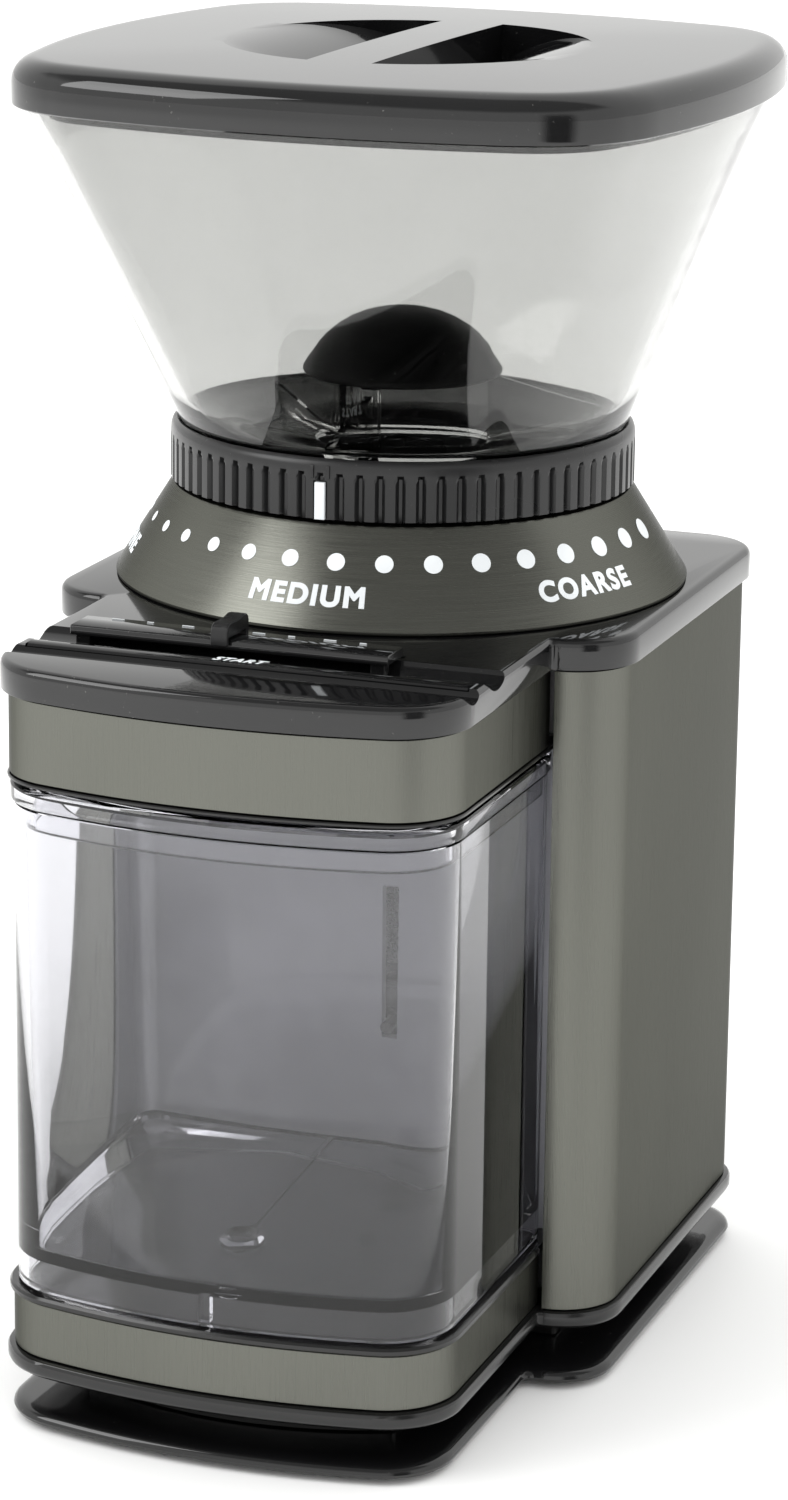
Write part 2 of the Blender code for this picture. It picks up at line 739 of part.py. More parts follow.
def make_grind_ring():
    """The ring that the hopper stands in. Three slots in its floor fit the adjusting ring's dogs."""
    profile = [
        (36, RING_BOTTOM),
        (RING_RADIUS - 0.8, RING_BOTTOM),
        (RING_RADIUS, RING_BOTTOM + 0.8),
        (RING_RADIUS, RING_TOP - 2.2),
        (RING_RADIUS - 0.8, RING_TOP - 0.6),
        (RING_RADIUS - 1.4, RING_TOP),
        (RING_RADIUS - 2.1, RING_TOP - 0.5),
        (RING_BORE, RING_TOP - 1.6),
        (RING_BORE, RING_FLOOR),
        (36, RING_FLOOR),
    ]
    origin = (0, AXIS_Y, RING_BOTTOM)
    ring = piece("grind_ring", turned(profile, about(0, AXIS_Y), 48), "satin_black", origin)
    cut(ring, *[radial_prism(bearing, block(37.8, 43.2, 178, 188), 4.7) for bearing in (30, 150, 270)])
    cut(ring, radial_prism(-90, block(RING_RADIUS - 0.9, 60, 180, 189.5), 1.5))
    mark = radial_prism(-90, block(RING_RADIUS - 0.6, RING_RADIUS + 0.4, RING_BOTTOM + 0.3, 189.2), 1.2)
    return ring, piece("ring_marker", mark, "white_mark", origin)


def make_hopper():
    """A round spigot that flares to a rounded square mouth, with a funnel floor, ribs and guard posts."""
    outer = round_square(HOPPER_MOUTH_HALF, LID_BOW, HOPPER_CORNER)
    inner = round_square(HOPPER_MOUTH_HALF - HOPPER_WALL, LID_BOW, HOPPER_CORNER - 1.5)

    def ring(radius, height):
        return at(circle_like(outer, radius), height)

    loops = [
        at(outer, HOPPER_MOUTH),
        ring(HOPPER_RADIUS, RING_TOP + 0.4),
        ring(SPIGOT_RADIUS, RING_TOP - 1.4),
        ring(SPIGOT_RADIUS, SPIGOT_BOTTOM),
        ring(SPIGOT_RADIUS - 1.8, SPIGOT_BOTTOM),
        ring(SPIGOT_RADIUS - 1.8, RING_TOP - 2.0),
        ring(THROAT_RADIUS + 2, SPIGOT_BOTTOM),
        ring(THROAT_RADIUS, SPIGOT_BOTTOM),
        ring(THROAT_RADIUS, SPIGOT_BOTTOM + HOPPER_WALL),
        ring(FLOOR_RADIUS, FLOOR_EDGE_Z),
        ring(HOPPER_RADIUS - 2.1, FLOOR_EDGE_Z + 1.0),
        at(inner, HOPPER_MOUTH),
    ]
    hopper = piece("hopper", skin(loops, closed=True), "clear", (0, AXIS_Y, RING_TOP))
    rib = ((19.5, 184.6), (43.4, 193.6), (43.4, 195.0), (20.0, 202.5), (19.5, 202.5))
    for bearing in (30, 150, 270):
        post = block(19.1, 21.0, 184.4, GUARD_BOTTOM - 0.4)
        join(hopper, radial_prism(bearing, rib, 0.9), radial_prism(bearing, post, 2))
    return hopper


def make_bean_guard():
    """The dome over the throat that keeps beans off the burrs. It stands on the hopper's three posts."""
    outer = [(GUARD_RADIUS, GUARD_BOTTOM), (GUARD_RADIUS, 204.9), (19.6, 207.6), (16.5, 211.2), (12.5, 214.3)]
    outer += [(7.5, 216.6), (0, 217.4)]
    inner = [(0, 215.6), (7.0, 214.8), (11.5, 212.6), (15.2, 209.7), (18.2, 206.2), (19.2, GUARD_BOTTOM)]
    dome = turned(inner + outer, about(0, AXIS_Y), 32)
    return piece("bean_guard", dome, "satin_black", (0, AXIS_Y, GUARD_BOTTOM))


def make_hopper_lid():
    """A rounded square cover with two finger wells either side of a grip bar."""
    full = round_square(LID_HALF, LID_BOW, LID_RADIUS)

    def inset(amount):
        return round_square(LID_HALF - amount, LID_BOW, LID_RADIUS - amount)

    def rim(slack):
        half, corner = HOPPER_MOUTH_HALF - HOPPER_WALL - slack, HOPPER_CORNER - 1.5 - slack
        return round_square(half, LID_BOW, corner)

    angles = (0, math.pi / 6, math.pi / 3, math.pi / 2)
    edge = [(LID_EDGE * (1 - math.cos(a)), LID_EDGE_RISE * math.sin(a)) for a in angles]
    shoulder = LID_TOP - LID_CROWN - LID_EDGE_RISE
    loops = [
        at(rim(4.2), LID_TOP - 3.6),
        at(rim(4.2), LID_RIM_BOTTOM),
        at(rim(2.0), LID_RIM_BOTTOM),
        at(rim(1.8), LID_BOTTOM),
        at(full, LID_BOTTOM),
    ]
    loops += [at(inset(amount), shoulder + rise) for amount, rise in edge]
    crest = (1 - LID_EDGE / LID_HALF) ** 2
    loops += [at(shrunk(full, share), LID_TOP - LID_CROWN * share**2 / crest) for share in (0.75, 0.5)]
    loops.append(at(shrunk(full, 0.2), LID_TOP))
    lid = piece("hopper_lid", skin(loops), "gloss_black", (0, AXIS_Y, LID_BOTTOM))
    boss = [(0, 257.2), (24, 257.2), (34, 260.6), (39.5, 264.5), (41.5, 270.6), (0, 270.6)]
    join(lid, turned(boss, about(0, AXIS_Y), 36))
    levels = ((21, 259.4), (30, 262.0), (35.5, 266.0), (37.4, 270.0))
    levels += ((WELL_RADIUS, 272.2), (WELL_RADIUS + 0.8, 276))
    for side in (-1, 1):
        cut(lid, skin([at(half_disc(radius, GRIP_HALF, side), z) for radius, z in levels]))


# Burrs and drive ----------------------------------------------------------------------------------


def burr(name, flat_z, face_z, crest, origin):
    """A steel ring with radial ridges on one face. The face is at face_z, and the ridges rise by crest."""
    count = 2 * BURR_RIDGES
    angles = [2 * math.pi * i / count for i in range(count)]

    def loop(radius, heights):
        return [(radius * math.cos(a), AXIS_Y + radius * math.sin(a), h) for a, h in zip(angles, heights)]

    flat = [flat_z] * count
    ridged = [face_z + crest * (i % 2) for i in range(count)]
    middle = [face_z + 0.4 * crest * (i % 2) for i in range(count)]
    loops = [loop(BURR_BORE, flat), loop(BURR_RADIUS, flat)]
    loops += [loop(BURR_RADIUS, ridged), loop(BURR_BORE, middle)]
    return piece(name, skin(loops, closed=True), "steel", origin)


def make_upper_burr():
    origin = (0, AXIS_Y, 165)
    stone = burr("upper_burr", 162.2, 159.0, -1.3, origin)
    profile = [(13, 162.5), (24.4, 162.5), (24.4, 158), (33.0, 158), (33.0, 168), (20, 168)]
    holder = piece("upper_burr_holder", turned(profile, about(0, AXIS_Y)), "satin_black", origin)
    return stone, holder


def make_burr_spindle():
    place = about(0, AXIS_Y)
    origin = (0, AXIS_Y, 140)
    shaft = [(0, 119), (SPINDLE_RADIUS, 119), (SPINDLE_RADIUS, 152.2), (2.2, 152.2), (2.2, 141), (0, 141)]
    spindle = piece("spindle", turned(shaft, place, 24), "steel", origin)
    bore = SPINDLE_RADIUS + GAP
    hub = [(bore, 142.6), (8, 142.6), (8, 146.5), (25.5, 146.5), (25.5, 151.7)]
    hub += [(11.6, 151.7), (11.6, 154.6), (bore, 154.6)]
    carrier = piece("burr_carrier", turned(hub, place), "nylon", origin)
    join(carrier, *[radial_prism(b, block(7, 31, 141.0, 147.4), 1.2) for b in (0, 90, 180, 270)])
    stone = burr("lower_burr", 152.0, 155.2, 1.3, origin)
    head = [(0, 142), (1.9, 142), (1.9, 154.9), (5, 154.9), (5, 157.2), (4.4, 157.8), (0, 157.8)]
    screw = piece("burr_screw", turned(head, place, 16), "steel", origin)
    teeth = prism(gear_outline(AXIS_Y, GEAR_TEETH, 0.0), GEAR_BOTTOM, GEAR_TOP)
    gear = piece("drive_gear", teeth, "nylon", origin)
    cut(gear, disc(bore, 120, 140, place, 24))
    return spindle, carrier, stone, screw, gear


def make_bushes():
    place = about(0, AXIS_Y)
    inner = SPINDLE_RADIUS + GAP
    lower = [(inner, 121.4), (8, 121.4), (8, FRAME_TOP + GAP), (10, FRAME_TOP + GAP)]
    lower += [(10, 127.5), (inner, 127.5)]
    piece("spindle_lower_bush", turned(lower, place, 24), "brass")
    upper = [(inner, 136.0), (10, 136.0), (10, 137.7), (8, 137.7), (8, 140.9), (inner, 140.9)]
    piece("spindle_upper_bush", turned(upper, place, 24), "brass")


def make_chamber():
    """The grinding chamber, held by its flange on the cover, with its outlet in front."""
    profile = [
        (8.3, 138.4),
        (CHAMBER_RADIUS, 138.4),
        (CHAMBER_RADIUS, 161.0),
        (46, 161.0),
        (46, 163.4),
        (CHAMBER_RADIUS, 163.4),
        (CHAMBER_RADIUS, 176.2),
        (CHAMBER_BORE, 176.2),
        (CHAMBER_BORE, 140.6),
        (8.3, 140.6),
    ]
    chamber = piece("grinding_chamber", turned(profile, about(0, AXIS_Y)), "satin_black")
    cut(chamber, box(-11, 11, -24, -2, 140.8, 148.5))


def make_chute():
    """The duct from the chamber's outlet, forward and down into the bin."""
    chute = piece("grounds_chute", box(-14, 14, -44, -15.9, HOOD_FLOOR + GAP, 151.5), "satin_black")
    cut(chute, box(-12, 12, -42, -10, 140.8, 149.5), box(-11.8, 11.8, -41.8, -30, 130, 143))


def make_motor():
    place = about(0, MOTOR_Y)
    profile = [
        (2.4, MOTOR_BOTTOM),
        (9, MOTOR_BOTTOM),
        (9, 60),
        (MOTOR_RADIUS, 60),
        (MOTOR_RADIUS, FRAME_BOTTOM - GAP),
        (8.2, FRAME_BOTTOM - GAP),
        (8.2, 124.6),
        (2.4, 124.6),
        (2.4, 118),
        (18.6, 118),
        (18.6, 62.5),
        (2.4, 62.5),
    ]
    can = piece("motor_can", turned(profile, place, 24), "steel")
    for x in (-MOTOR_SCREW_X, MOTOR_SCREW_X):
        cut(can, disc(1.6, 115, 130, about(x, MOTOR_Y), 12))
    origin = (0, MOTOR_Y, 130)
    shaft = [(0, 56), (2, 56), (2, 70), (15, 70), (15, 106), (6, 106), (6, 113), (2, 113), (2, 136), (0, 136)]
    rotor = piece("motor_rotor", turned(shaft, place, 16), "steel", origin)
    teeth = prism(gear_outline(MOTOR_Y, PINION_TEETH, 0.0), GEAR_BOTTOM - 0.3, GEAR_TOP + 0.3)
    pinion = piece("motor_pinion", teeth, "brass", origin)
    cut(pinion, disc(2.3, 120, 140, place, 16))
    for side, x in (("left", -MOTOR_SCREW_X), ("right", MOTOR_SCREW_X)):
        screw = [(0, 117), (1.3, 117), (1.3, 126.7), (2.8, 126.7), (2.8, 128.2), (2.3, 128.8), (0, 128.8)]
        piece(f"motor_screw_{side}", turned(screw, about(x, MOTOR_Y), 12), "steel")
    return rotor, pinion


def make_drive_frame():
    """The plate that carries the motor and the lower bush, on four legs from the base tray."""
    half, front, rear, radius = 41, -8, 75, 6
    outline = arc(half - radius, front + radius, radius, -90, 0, 3)
    outline += arc(half - radius, rear - radius, radius, 0, 90, 3)
    outline += arc(-half + radius, rear - radius, radius, 90, 180, 3)
    outline += arc(-half + radius, front + radius, radius, 180, 270, 3)
    frame = piece("drive_frame", prism(outline, FRAME_BOTTOM, FRAME_TOP), "satin_black")
    legs = [disc(3.5, 12.6, FRAME_BOTTOM + 1, about(x, y), 12) for x in (-35, 35) for y in (-1, 68)]
    join(frame, *legs)
    cut(
        frame,
        disc(8.3, 100, 140, about(0, AXIS_Y), 24),
        disc(8.6, 100, 140, about(0, MOTOR_Y), 24),
        disc(1.7, 100, 140, about(-MOTOR_SCREW_X, MOTOR_Y), 12),
        disc(1.7, 100, 140, about(MOTOR_SCREW_X, MOTOR_Y), 12),
    )


clear_scene()
FINISHES = make_finishes()

make_feet()
make_foot_plate()
make_neck()
make_base_tray()
make_base_screws()
make_rear_shell()
make_band("lower_front_band", TRAY_TOP + GAP, LOWER_BAND_TOP)
make_band("upper_front_band", 137.2, BODY_TOP)
make_bin_shelf()
make_bin_bay()
make_front_hood()
make_cord_gland()
make_top_cover()
make_slider_rail()
make_spring()
make_electronics()
make_collar()
make_bushes()
make_chamber()
make_chute()
make_drive_frame()

moving_group("bin_slide", (0, BIN_REAR_Y, BIN_BOTTOM), [make_grounds_bin(), make_bin_lid()])
moving_group("cup_dial", ((KNOB_LEFT + KNOB_RIGHT) / 2, -56, RAIL_TOP), make_cup_slider())
moving_group("burr_spin", (0, AXIS_Y, 140), make_burr_spindle())
moving_group("motor_spin", (0, MOTOR_Y, 130), make_motor())
moving_group("upper_burr_feed", (0, AXIS_Y, 165), make_upper_burr())
make_power_bar()
make_start_switch()
make_interlock()
make_adjusting_ring()
moving_group("hopper_lift", (0, AXIS_Y, RING_BOTTOM), [*make_grind_ring(), make_hopper(), make_bean_guard()])
make_hopper_lid()
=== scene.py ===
"""Looks of the burr coffee grinder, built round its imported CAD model.

Shapes are drawn in millimetres in the CAD frame and scaled to metres. +Z is up and the front faces -Y.
"""

import math

import bmesh
import bpy
from mathutils import Matrix, Vector


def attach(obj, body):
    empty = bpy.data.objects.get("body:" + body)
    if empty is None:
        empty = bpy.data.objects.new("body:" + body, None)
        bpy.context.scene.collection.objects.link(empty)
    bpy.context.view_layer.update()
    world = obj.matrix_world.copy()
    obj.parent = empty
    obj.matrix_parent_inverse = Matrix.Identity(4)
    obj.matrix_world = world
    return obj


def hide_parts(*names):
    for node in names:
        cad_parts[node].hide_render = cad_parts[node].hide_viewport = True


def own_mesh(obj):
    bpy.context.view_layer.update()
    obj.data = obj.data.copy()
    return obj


MM = 0.001
AXIS_Y = 20.5
SKEW = math.radians(-1.5)

# Plan of the body.
FRONT_HALF, FRONT_Y, FRONT_BOW, FRONT_RADIUS = 47.75, -92.0, 7.4, 15.5
REAR_HALF, SHOULDER_Y, BACK_Y, REAR_RADIUS = 61.95, -24.5, 79.2, 12.5
BIN_HALF, BIN_FRONT_Y, BIN_REAR_Y = 47.0, -91.4, -15.2
BAY_REAR_Y = -12.4
BODY_BOTTOM, BODY_TOP = 16.0, 153.7
COVER_TOP = 160.6
BAND_THICKNESS = 1.0
SCREW_PLACES = ((-22, -60), (22, -60), (-38, 48), (38, 48))
FOOT_PLACES = {
    "front_left": (-33, -74),
    "front_right": (33, -74),
    "rear_left": (-47, 64),
    "rear_right": (47, 64),
}
GLAND_Z = 24
BAR_Y = -67.65

# Collar, as a cone from its base to its top. The printing's spread is worked out from its own slope length.
CONE_BASE, CONE_LOW, CONE_TOP, CONE_HIGH = 60.7, 161.5, 48.7, 180.6
PRINT_SLOPE = 24.2
STEPS = 18
STEP_ANGLE = 10.75

# Hopper, its grind ring and its lid.
SQUARE_BOW = 13
HOPPER_HALF, HOPPER_CORNER, HOPPER_TOP = 70.5, 24, 262
MOUTH_HALF, MOUTH_CORNER = 68.5, 22.5
RING_BOTTOM, RING_RADIUS, RING_BORE = 181.2, 49.1, 36
RIB_BEARINGS = (30, 150, 270)
LID_HALF, LID_CORNER, LID_BOTTOM, LID_TOP = 73.2, 26.3, 262.3, 273.0
LID_SHOULDER, LID_EDGE, LID_EDGE_RISE = 267.2, 5.2, 5.0
LID_CROWN, LID_CREST_SHARE = 0.8, 0.863


# Node materials -----------------------------------------------------------------------------------


GUNMETAL = (0.150, 0.152, 0.134)
DUST = (0.30, 0.30, 0.28)
CLEAR_IOR = 1.49
GRAIN_DEPTH = 0.04 * MM

class Nodes:
    """Builds one node material around a Principled BSDF."""

    def __init__(self, name):
        self.material = bpy.data.materials.new(name)
        self.material.use_nodes = True
        self.tree = self.material.node_tree
        self.shader = self.tree.nodes["Principled BSDF"]
        self.coordinates = self.add("ShaderNodeTexCoord").outputs["Object"]

    def add(self, kind, **settings):
        node = self.tree.nodes.new(kind)
        for key, value in settings.items():
            setattr(node, key, value)
        return node

    def link(self, source, target):
        self.tree.links.new(source, target)

    def noise(self, scale, detail=3.0, roughness=0.55):
        """Noise whose scale is given per metre along X, Y and Z."""
        mapping = self.add("ShaderNodeMapping")
        mapping.inputs["Scale"].default_value = scale
        self.link(self.coordinates, mapping.inputs["Vector"])
        noise = self.add("ShaderNodeTexNoise")
        noise.inputs["Scale"].default_value = 1.0
        noise.inputs["Detail"].default_value = detail
        noise.inputs["Roughness"].default_value = roughness
        self.link(mapping.outputs["Vector"], noise.inputs["Vector"])
        return noise.outputs["Fac"]

    def span(self, value, low, high, start=0.3, end=0.7):
        """The value, eased from low to high between start and end."""
        node = self.add("ShaderNodeMapRange", interpolation_type="SMOOTHSTEP")
        for socket, number in (("From Min", start), ("From Max", end), ("To Min", low), ("To Max", high)):
            node.inputs[socket].default_value = number
        self.link(value, node.inputs["Value"])
        return node.outputs["Result"]

    def mixed(self, value, first, second):
        """A colour between two others."""
        node = self.add("ShaderNodeMix", data_type="RGBA")
        node.inputs["A"].default_value = (*first, 1)
        node.inputs["B"].default_value = (*second, 1)
        self.link(value, node.inputs["Factor"])
        return node.outputs["Result"]

    def bump(self, value, strength, distance):
        node = self.add("ShaderNodeBump")
        node.inputs["Strength"].default_value = strength
        node.inputs["Distance"].default_value = distance
        self.link(value, node.inputs["Height"])
        self.link(node.outputs["Normal"], self.shader.inputs["Normal"])


def scaled(colour, factor):
    return tuple(min(1.0, channel * factor) for channel in colour)


def brushed(name, colour, grain, roughness=0.30, variation=0.07, edge=0.42):
    """Brushed metal: streaks along the axis whose grain scale is low."""
    nodes = Nodes(name)
    fine = nodes.noise(grain, 4.0, 0.7)
    broad = nodes.noise((18, 18, 9), 2.0)
    tone = nodes.add("ShaderNodeMath", operation="MULTIPLY_ADD")
    tone.inputs[1].default_value = 0.8
    nodes.link(fine, tone.inputs[0])
    nodes.link(nodes.span(broad, 0.0, 0.2), tone.inputs[2])
    dark, light = scaled(colour, 1 - variation), scaled(colour, 1 + variation)
    streaks = nodes.mixed(nodes.span(tone.outputs[0], 0, 1, 0.25, 0.75), dark, light)
    nodes.link(streaks, nodes.shader.inputs["Base Color"])
    nodes.link(nodes.span(fine, roughness - 0.05, roughness + 0.08), nodes.shader.inputs["Roughness"])
    nodes.shader.inputs["Metallic"].default_value = 1.0
    nodes.shader.inputs["Specular Tint"].default_value = (edge, edge, edge, 1)
    nodes.bump(fine, 0.16, GRAIN_DEPTH)
    return nodes.material


def moulded(name, colour, roughness, texture=0.05, specks=0.0, grain=2200, ior=1.52):
    """Moulded plastic: a faint skin texture, uneven gloss and, where asked, a little dust."""
    nodes = Nodes(name)
    skin_noise = nodes.noise((grain, grain, grain), 2.0)
    cloudy = nodes.noise((26, 26, 26), 3.0)
    base = nodes.mixed(nodes.span(cloudy, 0, 1), scaled(colour, 0.85), scaled(colour, 1.15))
    rough = nodes.span(cloudy, roughness * 0.8, roughness * 1.3)
    if specks:
        dust = nodes.span(nodes.noise((1500, 1500, 1500), 1.0), 0.0, 1.0, 0.74, 0.80)
        patch = nodes.span(nodes.noise((60, 60, 60), 2.0), 0.0, specks, 0.42, 0.62)
        both = nodes.add("ShaderNodeMath", operation="MULTIPLY")
        nodes.link(dust, both.inputs[0])
        nodes.link(patch, both.inputs[1])
        mix = nodes.add("ShaderNodeMix", data_type="RGBA")
        nodes.link(both.outputs[0], mix.inputs["Factor"])
        nodes.link(base, mix.inputs["A"])
        mix.inputs["B"].default_value = (*DUST, 1)
        base = mix.outputs["Result"]
    nodes.link(base, nodes.shader.inputs["Base Color"])
    nodes.link(rough, nodes.shader.inputs["Roughness"])
    nodes.shader.inputs["IOR"].default_value = ior
    nodes.bump(skin_noise, texture, GRAIN_DEPTH)
    return nodes.material


def clear(name, colour, roughness=0.02):
    """Clear moulded plastic with a very slight ripple."""
    nodes = Nodes(name)
    ripple = nodes.noise((45, 45, 30), 2.0)
    tint = nodes.mixed(nodes.span(ripple, 0, 1), scaled(colour, 0.985), colour)
    nodes.link(tint, nodes.shader.inputs["Base Color"])
    nodes.link(nodes.span(ripple, roughness * 0.6, roughness * 1.6), nodes.shader.inputs["Roughness"])
    nodes.shader.inputs["Transmission Weight"].default_value = 1.0
    nodes.shader.inputs["IOR"].default_value = CLEAR_IOR
    return nodes.material


def circuit_board(name):
    """Green solder mask with paler copper tracks under it."""
    nodes = Nodes(name)
    tracks = nodes.add("ShaderNodeTexVoronoi", feature="DISTANCE_TO_EDGE", distance="MANHATTAN")
    tracks.inputs["Scale"].default_value = 260
    nodes.link(nodes.coordinates, tracks.inputs["Vector"])
    edge = nodes.span(tracks.outputs["Distance"], 1.0, 0.0, 0.05, 0.12)
    mask, copper = (0.010, 0.085, 0.030), (0.045, 0.19, 0.07)
    nodes.link(nodes.mixed(edge, mask, copper), nodes.shader.inputs["Base Color"])
    nodes.link(nodes.span(edge, 0.42, 0.28, 0, 1), nodes.shader.inputs["Roughness"])
    nodes.bump(edge, 0.3, 0.00005)
    return nodes.material


def make_materials():
    return {
        "gloss_black": moulded("gloss_black_plastic", (0.0045, 0.0045, 0.0048), 0.055, 0.02, 0.25, ior=1.60),
        "tray_black": moulded("tray_black_plastic", (0.0060, 0.0060, 0.0060), 0.16, 0.04, ior=1.55),
        "satin_black": moulded("satin_black_plastic", (0.0080, 0.0080, 0.0085), 0.26, 0.10, 0.2, ior=1.52),
        "dome_black": moulded("dome_black_plastic", (0.0030, 0.0030, 0.0030), 0.42, 0.12, 0.8, ior=1.24),
        # Painted light: the bay wall's dark plastic is drawn light grey, standing in for the reflected light
        # that brightens it.
        "bay_grey": moulded("bay_plastic_painted_light", (0.50, 0.50, 0.525), 0.42, 0.0, grain=400),
        "gunmetal": brushed("gunmetal_vertical_grain", GUNMETAL, (5200, 5200, 42)),
        "collar_steel": brushed("gunmetal_round_grain", GUNMETAL, (60, 60, 9000), 0.26),
        "clear": clear("clear_plastic", (0.640, 0.643, 0.632)),
        "smoke": clear("smoky_plastic", (0.880, 0.880, 0.905)),
        "ink": moulded("white_print", (0.74, 0.77, 0.79), 0.42, 0.08),
        "rubber": moulded("black_rubber", (0.014, 0.014, 0.014), 0.80, 0.45, 0.3, grain=1400),
        "steel": brushed("turned_steel", (0.52, 0.52, 0.50), (900, 900, 2600), 0.26, 0.10),
        "brass": brushed("turned_brass", (0.66, 0.46, 0.19), (700, 700, 2600), 0.28, 0.10),
        "nylon": moulded("natural_nylon", (0.66, 0.63, 0.55), 0.46, 0.12),
        "board": circuit_board("circuit_board"),
    }


# Outlines, counter-clockwise seen from above ------------------------------------------------------


def arc(x, y, radius, start, end, steps):
    """Points on a circle's arc, from one bearing to another in degrees."""
    angles = [math.radians(start + (end - start) * i / steps) for i in range(steps + 1)]
    return [(x + radius * math.cos(a), y + radius * math.sin(a)) for a in angles]


def bowed_front(half, front, bow, radius, corner_steps=12, bow_steps=20):
    """A front edge that bows forward in the middle, with a round corner at each end."""
    corner_x = half - radius
    slope = 2 * bow * corner_x / half**2
    tilt = math.degrees(math.atan(slope))
    centre_y = front + bow * (corner_x / half) ** 2 + radius * math.hypot(1, slope)
    left = arc(-corner_x, centre_y, radius, 180, 270 - tilt, corner_steps)
    reach = -left[-1][0]
    xs = [reach * (2 * i / bow_steps - 1) for i in range(1, bow_steps)]
    return left + [(x, front + bow * (x / half) ** 2) for x in xs] + [(-x, y) for x, y in reversed(left)]


def front_path(offset, rear):
    """The front housing's plan, grown by the offset and ended at the given rear."""
    half = FRONT_HALF + offset
    path = bowed_front(half, FRONT_Y - offset, FRONT_BOW, FRONT_RADIUS + offset)
    return [(-half, rear)] + path + [(half, rear)]


def body_outline(
    offset, half=FRONT_HALF, front=FRONT_Y, shoulder=SHOULDER_Y, rear_half=REAR_HALF, back=BACK_Y, fillet=1.2
):
    """The stepped plan of the body, grown by the offset. A small fillet softens each inner corner."""
    radius = max(REAR_RADIUS + offset, 0.8)
    x = rear_half + offset - radius
    low, high = shoulder - offset + radius, back + offset - radius
    points = arc(x, low, radius, -90, 0, 10) + arc(x, high, radius, 0, 90, 10)
    points += arc(-x, high, radius, 90, 180, 10) + arc(-x, low, radius, 180, 270, 10)
    side, step = half + offset, shoulder - offset
    points += arc(-side - fillet, step - fillet, fillet, 90, 0, 4)
    points += bowed_front(side, front - offset, FRONT_BOW, max(FRONT_RADIUS + offset, 1.5))
    return points + arc(side + fillet, step - fillet, fillet, 180, 90, 4)


def bin_outline(offset):
    half, radius = BIN_HALF + offset, 6.0 + offset
    high = BIN_REAR_Y + offset - radius
    front = bowed_front(half, BIN_FRONT_Y - offset, FRONT_BOW, FRONT_RADIUS + offset)
    return front + arc(half - radius, high, radius, 0, 90, 8) + arc(-half + radius, high, radius, 90, 180, 8)


def round_square(half, bow, radius, side_steps=16, corner_steps=14):
    """A bowed square with round corners about the burr axis, turned by the skew."""
    corner_x = half - radius
    slope = 2 * bow * corner_x / half**2
    tilt = math.degrees(math.atan(slope))
    edge_y = -half + bow * (corner_x / half) ** 2
    arc_x = corner_x - radius * math.sin(math.radians(tilt))
    centre = (arc_x - edge_y - radius * math.cos(math.radians(tilt))) / 2
    xs = [corner_x * (2 * i / side_steps - 1) for i in range(side_steps + 1)]
    quarter = [(x, -half + bow * (x / half) ** 2) for x in xs]
    quarter += arc(centre, -centre, radius, 270 + tilt, 360 - tilt, corner_steps)[1:-1]
    points = []
    for turn in range(4):
        angle = math.radians(90 * turn) + SKEW
        cos, sin = math.cos(angle), math.sin(angle)
        points += [(cos * x - sin * y, AXIS_Y + sin * x + cos * y) for x, y in quarter]
    return points


def circle_like(outline, radius):
    """A circle with a point at the bearing of each point of the outline."""
    bearings = [math.atan2(y - AXIS_Y, x) for x, y in outline]
    return [(radius * math.cos(b), AXIS_Y + radius * math.sin(b)) for b in bearings]


def rectangle(left, right, front, rear):
    return [(left, front), (right, front), (right, rear), (left, rear)]


# Solids -------------------------------------------------------------------------------------------


def at(outline, height):
    return [(x, y, height) for x, y in outline]


def between(low, high, count):
    """Evenly spaced loops from one loop to another, both included."""
    shares = [i / count for i in range(count + 1)]
    return [[tuple(a + (b - a) * s for a, b in zip(p, q)) for p, q in zip(low, high)] for s in shares]


def skin(loops, closed=False):
    """A mesh stretched over loops of points: capped at both ends, or closed into a ring."""
    bm = bmesh.new()
    rings = [[bm.verts.new(point) for point in loop] for loop in loops]
    pairs = list(zip(rings, rings[1:]))
    if closed:
        pairs.append((rings[-1], rings[0]))
    else:
        bm.faces.new(rings[0])
        bm.faces.new(rings[-1])
    for low, high in pairs:
        for i in range(len(low)):
            j = (i + 1) % len(low)
            bm.faces.new((low[i], low[j], high[j], high[i]))
    return bm


def prism(outline, bottom, top):
    return skin([at(outline, bottom), at(outline, top)])


def box(left, right, front, rear, bottom, top):
    return prism(rectangle(left, right, front, rear), bottom, top)


def side_prism(outline, left, right):
    """A bar across the object, from its outline seen from the side."""
    return skin([[(x, y, z) for y, z in outline] for x in (left, right)])


def turned(profile, place, steps=128):
    """A profile of radii and heights turned about an upright axis, then put in place."""
    bm = bmesh.new()
    verts = [bm.verts.new((radius, 0, height)) for radius, height in profile]
    edges = [bm.edges.new(pair) for pair in zip(verts, verts[1:])]
    if profile[0][0] > 0:
        edges.append(bm.edges.new((verts[-1], verts[0])))
    bmesh.ops.spin(
        bm, geom=verts + edges, cent=(0, 0, 0), axis=(0, 0, 1), angle=2 * math.pi, steps=steps, use_merge=True
    )
    bmesh.ops.remove_doubles(bm, verts=bm.verts, dist=1e-4)
    bmesh.ops.transform(bm, matrix=place, verts=bm.verts)
    return bm


def about(x, y):
    return Matrix.Translation((x, y, 0))


def along_y(x, z):
    return Matrix.Translation((x, 0, z)) @ Matrix.Rotation(math.radians(-90), 4, "X")


def disc(radius, bottom, top, place, steps=32):
    return turned([(0, bottom), (radius, bottom), (radius, top), (0, top)], place, steps)


def radial_prism(bearing, outline, half_width):
    """A plate that stands along a radius of the burr axis."""
    bm = skin([[(r, w, z) for r, z in outline] for w in (-half_width, half_width)])
    turn = Matrix.Rotation(math.radians(bearing), 4, "Z")
    bmesh.ops.transform(bm, matrix=about(0, AXIS_Y) @ turn, verts=bm.verts)
    return bm


